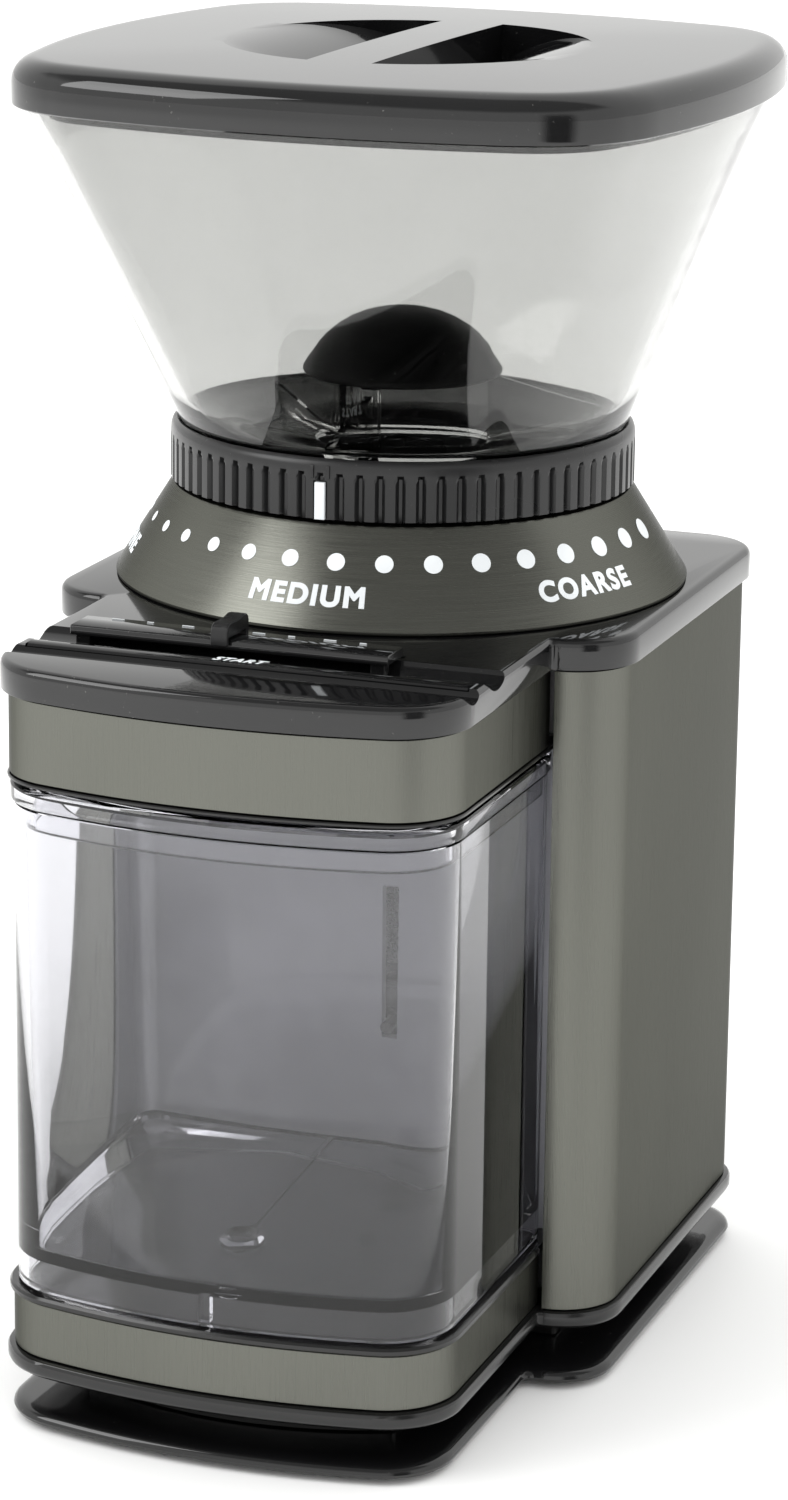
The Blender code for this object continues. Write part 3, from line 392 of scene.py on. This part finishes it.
def block(inner, outer, bottom, top):
    """The four-cornered outline of a radial plate."""
    return [(inner, bottom), (outer, bottom), (outer, top), (inner, top)]


def raw_object(name, bm):
    bmesh.ops.remove_doubles(bm, verts=bm.verts, dist=1e-4)
    bmesh.ops.recalc_face_normals(bm, faces=bm.faces)
    bmesh.ops.scale(bm, verts=bm.verts, vec=(MM, MM, MM))
    mesh = bpy.data.meshes.new(name)
    bm.to_mesh(mesh)
    bm.free()
    obj = bpy.data.objects.new(name, mesh)
    bpy.context.scene.collection.objects.link(obj)
    return obj


def solid(name, bm, finish, body, nodes=(), cuts=(), joins=(), bevel=0.0, angle=34, segments=2):
    """A finished piece: joined, cut, shaded and bevelled, with its material, body and replaced CAD nodes."""
    obj = raw_object(name, bm)
    tools = []
    for operation, meshes in (("UNION", joins), ("DIFFERENCE", cuts)):
        for tool_bm in meshes:
            tool = raw_object("tool", tool_bm)
            modifier = obj.modifiers.new("shape", "BOOLEAN")
            modifier.operation = operation
            modifier.object = tool
            tools.append(tool)
    if tools:
        bpy.context.view_layer.update()
        evaluated = obj.evaluated_get(bpy.context.evaluated_depsgraph_get())
        mesh = bpy.data.meshes.new_from_object(evaluated)
        obj.modifiers.clear()
        obj.data = mesh
        for tool in tools:
            bpy.data.objects.remove(tool, do_unlink=True)
    obj.data.materials.clear()
    obj.data.materials.append(MATERIALS[finish])
    obj.data.shade_smooth()
    obj.data.set_sharp_from_angle(angle=math.radians(angle))
    if bevel:
        edge = obj.modifiers.new("edge", "BEVEL")
        edge.width = bevel * MM
        edge.segments = segments
        edge.limit_method = "ANGLE"
        edge.angle_limit = math.radians(38)
        edge.harden_normals = True
    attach(obj, body)
    if nodes:
        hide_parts(*nodes)
    return obj


# Base ---------------------------------------------------------------------------------------------


def make_base():
    screw_hole = 1.8

    def plate(offset):
        return body_outline(offset, 47.7, -92.9, -29.6, 63.0, 80.2, 2.2)

    rim = [(-2.2, 1.35), (-0.9, 1.3), (-0.25, 1.7), (0, 2.4)]
    rim += [(-0.2, 3.1), (-0.8, 3.7), (-1.9, 4.05), (-3.2, 4.1)]
    cuts = [disc(3.4, 0, 3.1, about(x, y)) for x, y in SCREW_PLACES]
    cuts += [disc(screw_hole, 0, 6, about(x, y)) for x, y in SCREW_PLACES]
    base = skin([at(plate(o), z) for o, z in rim])
    solid("base_plate", base, "gloss_black", "housing", ["foot_plate"], cuts)

    outer, inner = body_outline(-14), body_outline(-16.5)
    loops = [at(outer, 4.4), at(outer, 9.1), at(inner, 9.1), at(inner, 4.4)]
    solid("cord_neck", skin(loops, closed=True), "tray_black", "housing", ["cord_wrap_neck"], bevel=0.2)

    section = [(-12, 9.4), (-7, 9.45), (0.2, 11.9), (1.0, 12.5), (1.3, 13.2), (1.3, 15.0)]
    section += [(1.0, 15.5), (0.4, 15.7), (-2.2, 15.7), (-2.2, 12.2)]
    tray = skin([at(body_outline(o), z) for o, z in section])
    holes = [disc(screw_hole, 5, 20, about(x, y)) for x, y in SCREW_PLACES]
    solid("tray", tray, "tray_black", "housing", ["base_tray"], holes)

    profile = [(0, 0.25), (3.0, 0.25), (3.3, 0), (6.4, 0), (7, 0.4), (7, 1.0), (0, 1.0)]
    for name, (x, y) in FOOT_PLACES.items():
        solid(f"foot_{name}", turned(profile, about(x, y), 40), "rubber", "housing", [f"rubber_foot_{name}"])


# Body ---------------------------------------------------------------------------------------------


def make_body():
    def wrap(offset):
        radius = REAR_RADIUS + offset
        x = REAR_HALF + offset - radius
        low, high = SHOULDER_Y - offset + radius, BACK_Y + offset - radius
        points = arc(x, low, radius, -90, 0, 16) + arc(x, high, radius, 0, 90, 16)
        points += arc(-x, high, radius, 90, 180, 16) + arc(-x, low, radius, 180, 270, 16)
        edge = FRONT_HALF + 1.6
        return [(edge, SHOULDER_Y - offset)] + points + [(-edge, SHOULDER_Y - offset)]

    shell = prism(wrap(0) + wrap(-BAND_THICKNESS)[::-1], BODY_BOTTOM, BODY_TOP)
    cord_hole = disc(4.7, 60, 90, along_y(0, GLAND_Z))
    solid("rear_panel", shell, "gunmetal", "housing", ["rear_shell"], [cord_hole], bevel=0.15)

    for name, node, bottom, top in (
        ("lower_band", "lower_front_band", BODY_BOTTOM, 27.5),
        ("upper_band", "upper_front_band", 137.2, BODY_TOP),
    ):
        rear = SHOULDER_Y + 2.5
        outline = front_path(0, rear) + front_path(-BAND_THICKNESS, rear)[::-1]
        solid(name, prism(outline, bottom, top), "gunmetal", "housing", [node], bevel=0.2)

    rear = BAY_REAR_Y - 1.4
    section = [(-3.0, 26.0), (-3.0, BODY_BOTTOM), (-1.4, BODY_BOTTOM), (-1.4, 27.8)]
    section += [(0.5, 27.8), (0.8, 28.1), (0.8, 28.9), (0.4, 29.4)]
    shelf = skin([at(front_path(o, rear + o), z) for o, z in section])
    solid("shelf", shelf, "tray_black", "housing", ["bin_shelf"])

    outer, front, inner = 50.6, SHOULDER_Y + 1.5, 49.0
    right = [(outer, BAY_REAR_Y + 2.2), (outer, front), (inner, front)]
    right += arc(inner - 4, BAY_REAR_Y - 4, 4, 0, 90, 8)
    outline = right + [(-x, y) for x, y in reversed(right)]
    window = box(-21, 21, BAY_REAR_Y - 3, BAY_REAR_Y + 6, 137.1, 170)
    slot = box(8.6, 12.6, BAY_REAR_Y - 3, BAY_REAR_Y + 6, 62.5, 100)
    wall = prism(outline, BODY_BOTTOM, BODY_TOP)
    # The wall's light grey is painted light on dark plastic.
    solid("bay_wall", wall, "bay_grey", "housing", ["bin_bay"], [window, slot])

    rear = BAY_REAR_Y - 0.9
    section = [(0.15, 136.1), (0.35, 136.3), (0.35, 136.7), (0.15, 136.9), (-1.4, 136.9), (-1.4, 138.0)]
    posts = [disc(3, 137.5, 140, about(x, y)) for x in (-35, 35) for y in (-72, -51)]
    hood = skin([at(front_path(o, rear + o), z) for o, z in section])
    hole = box(-12.5, 12.5, -42.5, -29.5, 130, 142)
    solid("hood", hood, "tray_black", "housing", ["front_hood"], [hole], posts)

    profile = [(0, 75), (4.2, 75), (4.2, 79.5), (6.3, 79.5), (6.5, 80.0), (6.1, 81.3)]
    profile += [(4.4, 83.0), (3.4, 83.5), (2.6, 83.3), (2.6, 77), (0, 77)]
    solid("gland", turned(profile, along_y(0, GLAND_Z), 64), "rubber", "housing", ["cord_gland"])


# Bin ----------------------------------------------------------------------------------------------


def make_bin():
    section = [(-2.0, 36.0), (-2.0, 29.9), (-0.2, 29.9), (0, 30.1), (0, 130.8), (-0.2, 131.0), (-1.8, 131.0)]
    section += [(-2.0, 130.8), (-2.0, 39.1), (-2.3, 38.4), (-3.0, 38.1)]
    loops = [at(bin_outline(o), z) for o, z in section]
    gate_profile = [(2.2, 37.6), (4.6, 37.6), (4.6, 38.5), (3.6, 39.2), (2.8, 38.9), (2.2, 38.3)]
    gate = turned(gate_profile, about(0, -70), 40)
    flow_line = box(-0.6, 0.6, -64, -19, 37.9, 38.5)
    notch = box(-1.1, 1.1, BIN_FRONT_Y + 0.7, BIN_FRONT_Y + 4.2, 30.2, 37.2)
    solid("bin_walls", skin(loops), "smoke", "bin", ["grounds_bin"], joins=[gate, flow_line, notch])

    section = [(-0.2, 135.3), (0.4, 135.1), (0.7, 134.7), (0.7, 132.0), (0.5, 131.6), (-2.4, 131.5)]
    section += [(-2.4, 126.4), (-2.6, 126.2), (-3.8, 126.2), (-4.0, 126.4), (-4.0, 133.2)]
    opening = box(-13, 13, -43, -29, 120, 140)
    cover = skin([at(bin_outline(o), z) for o, z in section])
    solid("bin_cover", cover, "smoke", "bin", ["bin_lid"], [opening])


# Cover and controls -------------------------------------------------------------------------------


def lying_cutter(y, width, depth):
    """A roller lying across the deck that cuts a groove of the given width and depth."""
    radius = (width**2 / 4 + depth**2) / (2 * depth)
    place = Matrix.Translation((0, y, COVER_TOP + radius - depth)) @ Matrix.Rotation(math.radians(90), 4, "Y")
    return disc(radius, -80, 80, place, 120)


def make_cover():
    section = [(-0.4, 156.4), (-0.4, 154.3), (1.4, 154.3), (1.5, 154.5), (1.5, 159.0)]
    section += [(1.4, 159.6), (1.1, 160.1), (0.7, 160.45), (0.1, COVER_TOP)]
    cuts = [
        disc(37.4, 150, 170, about(0, AXIS_Y), 96),
        lying_cutter(-59.8, 11.4, 2.4),
        lying_cutter(-73.4, 7.6, 2.1),
        box(-46.85, 46.85, BAR_Y - 2.4, BAR_Y + 2.4, 150, 170),
        box(-41.5, 27.0, -52.45, -50.55, 150, 170),
    ]
    cover = skin([at(body_outline(o), z) for o, z in section])
    solid("deck", cover, "gloss_black", "housing", ["top_cover"], cuts)

    edge = [(-61.2, 161.1), (-52.4, 161.1), (-52.4, 162.6), (-52.55, 162.9), (-52.9, 163.1), (-60.7, 163.1)]
    edge += [(-61.05, 162.9), (-61.2, 162.6)]
    feet = [box(left, left + 3, -60.6, -57.6, 158.6, 161.7) for left in (-40, 23)]
    solid("rail", side_prism(edge, -41, 27), "gloss_black", "housing", ["slider_rail"], joins=feet, bevel=0.3)

    saddle = [(-62.6, 162.0), (-61.6, 162.0), (-61.6, 163.5), (-52.1, 163.5), (-52.1, 154.0), (-50.9, 154.0)]
    saddle += [(-50.9, 165.2), (-51.2, 166.0), (-52.0, 166.6), (-53.5, 166.8), (-56.5, 166.3), (-59.5, 166.5)]
    saddle += [(-61.2, 166.4), (-62.2, 165.8), (-62.6, 164.9)]
    knob = side_prism(saddle, -10, -6.4)
    solid("slider_saddle", knob, "satin_black", "cup_slider", ["cup_slider_knob"], bevel=0.25)

    outline = [(-69.7, 155.9), (-71.4, 155.9), (-71.4, 154.8), (-63.9, 154.8), (-63.9, 155.9), (-65.6, 155.9)]
    outline += [(-65.6, 160.2), (-66.0, 160.6), (-66.8, 160.85), (BAR_Y, 160.9)]
    outline += [(-68.5, 160.85), (-69.3, 160.6), (-69.7, 160.2)]
    bar = side_prism(outline, -46.5, 46.5)
    profile = [(0, 151.8), (3.6, 151.8), (3.6, 152.8), (1.6, 152.8), (1.6, 155.4), (0, 155.4)]
    stem = turned(profile, about(0, BAR_Y), 32)
    solid("power_bar_top", bar, "gloss_black", "power_bar", ["start_power_bar"], joins=[stem])


# Collar, ring and hopper --------------------------------------------------------------------------


def make_collar():
    profile = [(CONE_BASE - 1.3, 160.9), (CONE_BASE - 0.1, 160.9), (CONE_BASE, 161.1), (CONE_BASE, CONE_LOW)]
    profile += [(CONE_TOP + 0.3, CONE_HIGH - 0.5), (CONE_TOP - 0.2, CONE_HIGH)]
    profile += [(44.5, CONE_HIGH), (44.5, CONE_HIGH - 1.3), (CONE_TOP - 1.6, CONE_HIGH - 1.3)]
    collar = turned(profile, about(0, AXIS_Y), 200)
    solid("collar", collar, "collar_steel", "housing", ["selector_collar"], angle=28)


def make_grind_ring():
    """A ring with fine flutes. Each flute has a round top and runs out at the bottom edge."""
    flutes, across = 74, 12
    depth, share = 1.15, 0.21
    flute_top, round_off = 189.4, 1.5
    heights = [181.6, 183, 184.5, 186, 187.5, 188.6, 189.4, 189.9, 190.3, 190.7, 191.2]
    count = flutes * across

    def fluted(height):
        reach = share
        if height > flute_top:
            reach = share * math.sqrt(max(0.0, 1 - ((height - flute_top) / round_off) ** 2))
        points = []
        for i in range(count):
            phase = (i % across) / across - 0.5
            cut = 0.0
            if abs(phase) < reach:
                cut = depth * min(1.0, 2.2 * (1 - abs(phase) / reach))
            angle = 2 * math.pi * (i + across / 2) / count - math.pi / 2
            r = RING_RADIUS - cut
            points.append((r * math.cos(angle), AXIS_Y + r * math.sin(angle), height))
        return points

    def plain(r, height):
        angles = [2 * math.pi * (i + across / 2) / count - math.pi / 2 for i in range(count)]
        return [(r * math.cos(a), AXIS_Y + r * math.sin(a), height) for a in angles]

    rim = [(49.0, 192.4), (48.7, 193.3), (48.2, 193.8), (47.8, 194.0), (47.2, 193.8), (46.5, 192.9)]
    rim += [(46.2, 192.0), (46.2, 182.8), (RING_BORE, 182.8)]
    loops = [plain(RING_BORE, RING_BOTTOM), plain(47.8, RING_BOTTOM)]
    loops += [fluted(h) for h in heights] + [plain(r, h) for r, h in rim]
    cuts = [radial_prism(b, block(37.8, 43.2, 178, 188), 4.7) for b in RIB_BEARINGS]
    cuts.append(radial_prism(-90, block(48.2, 60, 180, 189.5), 1.5))
    solid("ring", skin(loops, closed=True), "satin_black", "hopper", ["grind_ring"], cuts, angle=40)
    mark = radial_prism(-90, block(48.5, 49.5, 181.5, 189.2), 1.1)
    solid("ring_mark", mark, "ink", "hopper", ["ring_marker"], bevel=0.15)
    tab = [(48.6, 190.0), (49.45, 190.0), (49.45, 192.0), (RING_RADIUS, 192.7), (48.6, 192.7)]
    for side, name in ((-1, "left"), (1, "right")):
        arm = radial_prism(-90 + side * 2.0, tab, 0.35)
        solid(f"ring_tab_{name}", arm, "satin_black", "hopper", bevel=0.1)


def make_hopper():
    outer = round_square(HOPPER_HALF, SQUARE_BOW, HOPPER_CORNER)
    inner = round_square(MOUTH_HALF, SQUARE_BOW, MOUTH_CORNER)
    lip = HOPPER_TOP - 0.2

    def ring(radius, height):
        return at(circle_like(outer, radius), height)

    outside = between(at(outer, lip), ring(47.5, 194.4), 10)
    inside = between(ring(45.4, 195.6), at(inner, lip), 10)
    bends = [(47.0, 193.4), (45.8, 192.6), (45.8, 183.4), (45.6, 183.2), (44.2, 183.2), (44.0, 183.4)]
    bends += [(44.0, 192.0), (20.8, 183.2), (18.8, 183.2), (18.8, 185.2), (19.2, 185.6), (43.2, 194.6)]
    bends += [(44.6, 194.9)]
    loops = [at(outer, HOPPER_TOP)] + outside + [ring(r, z) for r, z in bends]
    loops += inside + [at(inner, HOPPER_TOP)]
    rib = [(19.5, 184.6), (43.4, 193.6), (43.4, 195.0), (20, 202.5), (19.5, 202.5)]
    joins = []
    for bearing in RIB_BEARINGS:
        joins += [radial_prism(bearing, rib, 0.9), radial_prism(bearing, block(19.1, 21.0, 184.4, 203.5), 2)]
    solid("hopper_walls", skin(loops, closed=True), "clear", "hopper", ["hopper"], joins=joins, angle=30)

    profile = [(0, 215.6), (4, 215.4), (7.5, 214.6), (11.5, 212.6), (15.2, 209.7), (18.2, 206.2)]
    profile += [(19.2, 203.9), (21.0, 203.9), (21.3, 204.2), (21.3, 204.7), (20.9, 205.4), (19.6, 207.4)]
    profile += [(18.2, 209.4), (16.4, 211.4), (14.3, 213.2), (11.8, 214.8), (8.8, 216.1), (5.6, 216.95)]
    profile += [(2.8, 217.3), (0, 217.4)]
    solid("dome", turned(profile, about(0, AXIS_Y), 96), "dome_black", "hopper", ["bean_guard"])


def grip_well(side):
    """The cutter for one finger well beside the grip: half a disc that gets shallower away from the grip."""
    grip, radius, deep, rise, steps = 7.0, 38.3, 260.4, 12.35, 14
    cos, sin = math.cos(SKEW), math.sin(SKEW)
    rings = []
    for i in range(steps + 1):
        x = grip + (radius - 0.15 - grip) * (i / steps) ** 0.85
        half = math.sqrt(radius**2 - x**2)
        share = (x - grip) / (radius - grip)
        floor = deep + rise * (1 - (1 - share) ** 2.2)
        across = [j / 10 - 1 for j in range(21)]
        under = [(half * u, floor + (LID_TOP - floor) * 0.35 * abs(u) ** 7) for u in across]
        section = [(-half, LID_TOP + 3.0)] + under + [(half, LID_TOP + 3.0)]
        rings.append([(cos * side * x - sin * y, AXIS_Y + sin * side * x + cos * y, z) for y, z in section])
    return skin(rings)


def make_lid():
    full = round_square(LID_HALF, SQUARE_BOW, LID_CORNER)

    def inset(amount, height):
        return at(round_square(LID_HALF - amount, SQUARE_BOW, LID_CORNER - amount), height)

    def rim(slack, height):
        return at(round_square(MOUTH_HALF - slack, SQUARE_BOW, MOUTH_CORNER - slack), height)

    def shrunk(share, height):
        return [(share * x, AXIS_Y + share * (y - AXIS_Y), height) for x, y in full]

    loops = [rim(4.2, 269.4), rim(4.2, 260.4), rim(2.0, 260.4), rim(1.8, LID_BOTTOM)]
    loops += [inset(0.5, LID_BOTTOM), inset(0.1, 262.6), inset(0, 263.2), inset(0, LID_SHOULDER)]
    for a in [math.radians(degrees) for degrees in (12, 24, 36, 48, 60, 70, 80, 90)]:
        loops.append(inset(LID_EDGE * (1 - math.cos(a)), LID_SHOULDER + LID_EDGE_RISE * math.sin(a)))
    for share in (0.91, 0.84, 0.76, 0.66, 0.54, 0.40, 0.25, 0.12):
        loops.append(shrunk(share, LID_TOP - LID_CROWN * share**2 / LID_CREST_SHARE))
    lid = skin(loops)
    wells = [grip_well(side) for side in (-1, 1)]
    profile = [(0, 257.2), (24, 257.2), (34, 260.6), (39.5, 264.5), (41.5, 270.6), (0, 270.6)]
    boss = turned(profile, about(0, AXIS_Y), 96)
    solid("lid_top", lid, "gloss_black", "lid", ["hopper_lid"], wells, [boss], bevel=0.5, segments=3)


# Printing -----------------------------------------------------------------------------------------


MITER_LIMIT = 1.3


def cone_point(angle, climb, lift):
    """A point on the collar: a bearing, a distance up the slope from its lower edge, and a lift off it."""
    run, rise = CONE_BASE - CONE_TOP, CONE_HIGH - CONE_LOW
    length = math.hypot(run, rise)
    radius = CONE_BASE - climb * run / length + lift * rise / length
    height = CONE_LOW + climb * rise / length + lift * run / length
    return radius * math.cos(angle), AXIS_Y + radius * math.sin(angle), height


def print_radius(climb):
    """The radius that turns a length of printing into an angle round the collar."""
    return CONE_BASE - climb * (CONE_BASE - CONE_TOP) / PRINT_SLOPE


def flat_text(word, size, weight, shear=0.0, spacing=1.0):
    """The mesh of a word, in millimetres, centred on the origin, its outline moved out by the weight."""
    curve = bpy.data.curves.new("word", "FONT")
    curve.body = word
    curve.size = size
    curve.shear = shear
    curve.space_character = spacing
    curve.align_x, curve.align_y = "CENTER", "CENTER"
    curve.extrude = 0.03
    holder = bpy.data.objects.new("word", curve)
    bpy.context.scene.collection.objects.link(holder)
    bpy.context.view_layer.update()
    mesh = bpy.data.meshes.new_from_object(holder.evaluated_get(bpy.context.evaluated_depsgraph_get()))
    bpy.data.objects.remove(holder, do_unlink=True)
    bm = bmesh.new()
    bm.from_mesh(mesh)
    bmesh.ops.remove_doubles(bm, verts=bm.verts, dist=1e-4)
    bm.normal_update()
    shifts = []
    for vert in bm.verts:
        walls = [face.normal for face in vert.link_faces if abs(face.normal.z) < 0.5]
        out = sum(walls, Vector()).normalized()
        reach = min(1 / max(out.dot(walls[0]), 0.1), MITER_LIMIT)
        shifts.append(out * weight * reach)
    for vert, shift in zip(bm.verts, shifts):
        vert.co += shift
    return bm


def make_printing():
    dot_climb, dot_points = 14.6, 28
    radius = print_radius(dot_climb)
    angles = [2 * math.pi * j / dot_points for j in range(dot_points)]
    for i in range(STEPS):
        bearing = math.radians(-90 + (i - (STEPS - 1) / 2) * STEP_ANGLE)
        size = min(0.75 + 0.14 * i, 1.90) + 0.06 * max(0, i - 10)
        spots = [(bearing + size * math.cos(a) / radius, dot_climb + size * math.sin(a)) for a in angles]
        rings = [[cone_point(turn, climb, lift) for turn, climb in spots] for lift in (0.02, 0.08)]
        solid(f"step_dot_{i + 1:02d}", skin(rings), "ink", "housing")

    word_climb, word_lift = 7.0, 0.05
    radius = print_radius(word_climb)
    for word, angle, size in (("FINE", -156, 5.6), ("MEDIUM", -90, 6.0), ("COARSE", -28, 6.0)):
        bm = flat_text(word, size, 0.29, spacing=1.18)
        for vert in bm.verts:
            turn = math.radians(angle) + vert.co.x / radius
            vert.co = Vector(cone_point(turn, word_climb + vert.co.y, word_lift + vert.co.z))
        solid(f"word_{word.lower()}", bm, "ink", "housing")

    bm = flat_text("START", 3.3, 0.13, 0.35, 1.14)
    bmesh.ops.translate(bm, verts=bm.verts, vec=(-2.0, BAR_Y, 160.96))
    solid("word_start", bm, "ink", "power_bar")

    ticks, first, pitch = 8, -35, 7.6
    for i in range(ticks):
        x = first + i * pitch
        tick = box(x, x + (2.6 if i % 2 == 0 else 1.4), -53.6, -53.2, 163.08, 163.16)
        solid(f"cup_tick_{i + 1}", tick, "ink", "housing")


# Carried-over nodes, camera and light -------------------------------------------------------------


# Sky strengths: for everything but reflections, and for reflections.
SKY_STRENGTH, GLOSSY_BRIGHT, GLOSSY_DIM = 1.5, 1.05, 0.38

# Finishes of the CAD nodes that keep their own shape. The rest of them are satin black.
CAD_FINISH = {
    "steel": (
        "base_screw",
        "motor_screw",
        "motor_can",
        "motor_rotor",
        "spindle",
        "burr_screw",
        "lower_burr",
        "upper_burr",
        "power_bar_spring",
        "slide_potentiometer",
    ),
    "brass": ("motor_pinion", "spindle_lower_bush", "spindle_upper_bush"),
    "nylon": ("pot_wiper", "start_switch_plunger", "burr_carrier", "drive_gear"),
    "board": ("control_board",),
    "satin_black": ("upper_burr_holder",),
}


def finish_cad_nodes(nodes):
    """Gives each CAD node that still shows the material of its longest matching name."""
    named = [(prefix, finish) for finish, prefixes in CAD_FINISH.items() for prefix in prefixes]
    for name, node in nodes.items():
        if node.hide_render:
            continue
        matches = [(len(prefix), finish) for prefix, finish in named if name.startswith(prefix)]
        finish = max(matches)[1] if matches else "satin_black"
        node.data.materials.clear()
        node.data.materials.append(MATERIALS[finish])


def squash_spring(spring):
    """Gives the power bar's spring a mesh of its own."""
    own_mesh(spring)


def add_camera():
    """Looks at the object from the front right and a little above, with a slight roll."""
    azimuth, elevation, roll = 0.3486265, 0.2670224, 0.0117255
    target, distance = Vector((5.1525, 2.9316, 125.61)) * MM, 1.002526
    level = math.cos(elevation)
    back = Vector((math.sin(azimuth) * level, -math.cos(azimuth) * level, math.sin(elevation)))
    right = Vector((math.cos(azimuth), math.sin(azimuth), 0))
    up = back.cross(right)
    turn = Matrix.Rotation(roll, 3, back)
    right, up = turn @ right, turn @ up
    place = Matrix((right, up, back)).transposed().to_4x4()
    place.translation = target + back * distance
    data = bpy.data.cameras.new("camera")
    data.sensor_fit = "VERTICAL"
    data.sensor_height = 36
    data.lens = 113.75
    camera = bpy.data.objects.new("camera", data)
    camera.matrix_world = place
    bpy.context.scene.collection.objects.link(camera)
    bpy.context.scene.camera = camera


def add_softbox(name, place, aim, width, height, power):
    data = bpy.data.lights.new(name, "AREA")
    data.shape = "RECTANGLE"
    data.size, data.size_y = width, height
    data.energy = power
    light = bpy.data.objects.new(name, data)
    light.location = place
    light.rotation_euler = (Vector(aim) - Vector(place)).to_track_quat("-Z", "Y").to_euler()
    bpy.context.scene.collection.objects.link(light)


def add_card(name, place, width, tone):
    """An upright studio card beside the camera, faint at its sides and top. Only reflections see it."""
    nodes = Nodes(name)
    nodes.shader.inputs["Base Color"].default_value = (tone, tone, tone, 1)
    nodes.shader.inputs["Roughness"].default_value = 1.0
    across = nodes.add("ShaderNodeSeparateXYZ")
    nodes.link(nodes.add("ShaderNodeTexCoord").outputs["Generated"], across.inputs["Vector"])
    fade = None
    for axis, start, end in (("X", 0.0, 0.35), ("X", 1.0, 0.65), ("Z", 1.0, 0.45)):
        edge = nodes.span(across.outputs[axis], 0.0, 1.0, start, end)
        if fade is not None:
            product = nodes.add("ShaderNodeMath", operation="MULTIPLY")
            nodes.link(fade, product.inputs[0])
            nodes.link(edge, product.inputs[1])
            edge = product.outputs[0]
        fade = edge
    nodes.link(fade, nodes.shader.inputs["Alpha"])
    along = Vector((-place[1], place[0], 0)).normalized() * width / 2
    foot = Vector((*place, 0.001))
    top = foot + Vector((0, 0, 0.9))
    mesh = bpy.data.meshes.new(name)
    mesh.from_pydata([foot - along, foot + along, top + along, top - along], [], [(0, 1, 2, 3)])
    mesh.materials.append(nodes.material)
    card = bpy.data.objects.new(name, mesh)
    bpy.context.scene.collection.objects.link(card)
    card.visible_camera = False
    card.visible_diffuse = False
    card.visible_shadow = False
    card.visible_transmission = False


def glossy_sky(tree):
    """The sky that reflections see: a dim ceiling above the front, bright at the horizon and at the back."""
    direction = tree.nodes.new("ShaderNodeTexCoord")
    parts = tree.nodes.new("ShaderNodeSeparateXYZ")
    tree.links.new(direction.outputs["Generated"], parts.inputs["Vector"])
    sky = tree.nodes.new("ShaderNodeMath")
    sky.operation = "MAXIMUM"
    ramps = (("Z", 0.50, 0.72, GLOSSY_BRIGHT, GLOSSY_DIM), ("Y", 0.0, 0.30, 0.0, GLOSSY_BRIGHT))
    for (axis, start, end, low, high), target in zip(ramps, sky.inputs):
        tone = tree.nodes.new("ShaderNodeMapRange")
        tone.interpolation_type = "SMOOTHSTEP"
        for socket, number in (("From Min", start), ("From Max", end), ("To Min", low), ("To Max", high)):
            tone.inputs[socket].default_value = number
        tree.links.new(parts.outputs[axis], tone.inputs["Value"])
        tree.links.new(tone.outputs["Result"], target)
    return sky.outputs["Value"]


def add_floor():
    nodes = Nodes("pale_floor")
    paper = nodes.span(nodes.noise((3, 3, 3), 2.0), 0, 1)
    nodes.link(nodes.mixed(paper, (0.93, 0.93, 0.93), (0.95, 0.95, 0.95)), nodes.shader.inputs["Base Color"])
    nodes.shader.inputs["Roughness"].default_value = 0.7
    reach = 30
    corners = [(x, y, 0) for x, y in rectangle(-reach, reach, -reach, reach)]
    mesh = bpy.data.meshes.new("floor")
    mesh.from_pydata(corners, [], [(0, 1, 2, 3)])
    mesh.materials.append(nodes.material)
    floor = bpy.data.objects.new("floor", mesh)
    bpy.context.scene.collection.objects.link(floor)


def add_studio():
    world = bpy.data.worlds.new("studio")
    world.use_nodes = True
    bpy.context.scene.world = world
    tree = world.node_tree
    background = tree.nodes["Background"]
    background.inputs["Color"].default_value = (1.0, 1.0, 0.99, 1)
    rays = tree.nodes.new("ShaderNodeLightPath")
    choose = tree.nodes.new("ShaderNodeMix")
    choose.inputs["A"].default_value = SKY_STRENGTH
    tree.links.new(rays.outputs["Is Glossy Ray"], choose.inputs["Factor"])
    tree.links.new(glossy_sky(tree), choose.inputs["B"])
    tree.links.new(choose.outputs["Result"], background.inputs["Strength"])
    add_softbox("key_softbox", place=(-1.1, -0.9, 1.2), aim=(0, 0, 0.12), width=0.9, height=0.9, power=9)
    add_card("grey_flag", place=(0.66, -0.62), width=0.62, tone=0.10)
    add_floor()
    bpy.context.scene.view_settings.view_transform = "Standard"


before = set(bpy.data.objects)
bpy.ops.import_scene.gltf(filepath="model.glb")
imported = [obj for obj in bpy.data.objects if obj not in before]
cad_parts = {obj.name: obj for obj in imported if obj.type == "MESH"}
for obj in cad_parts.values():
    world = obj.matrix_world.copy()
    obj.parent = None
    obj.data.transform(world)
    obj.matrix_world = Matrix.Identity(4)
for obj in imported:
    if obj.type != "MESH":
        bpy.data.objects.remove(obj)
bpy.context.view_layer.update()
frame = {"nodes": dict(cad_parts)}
MATERIALS = make_materials()

make_base()
make_body()
make_bin()
make_cover()
make_collar()
make_grind_ring()
make_hopper()
make_lid()
make_printing()
finish_cad_nodes(frame["nodes"])
squash_spring(frame["nodes"]["power_bar_spring"])
add_camera()
add_studio()
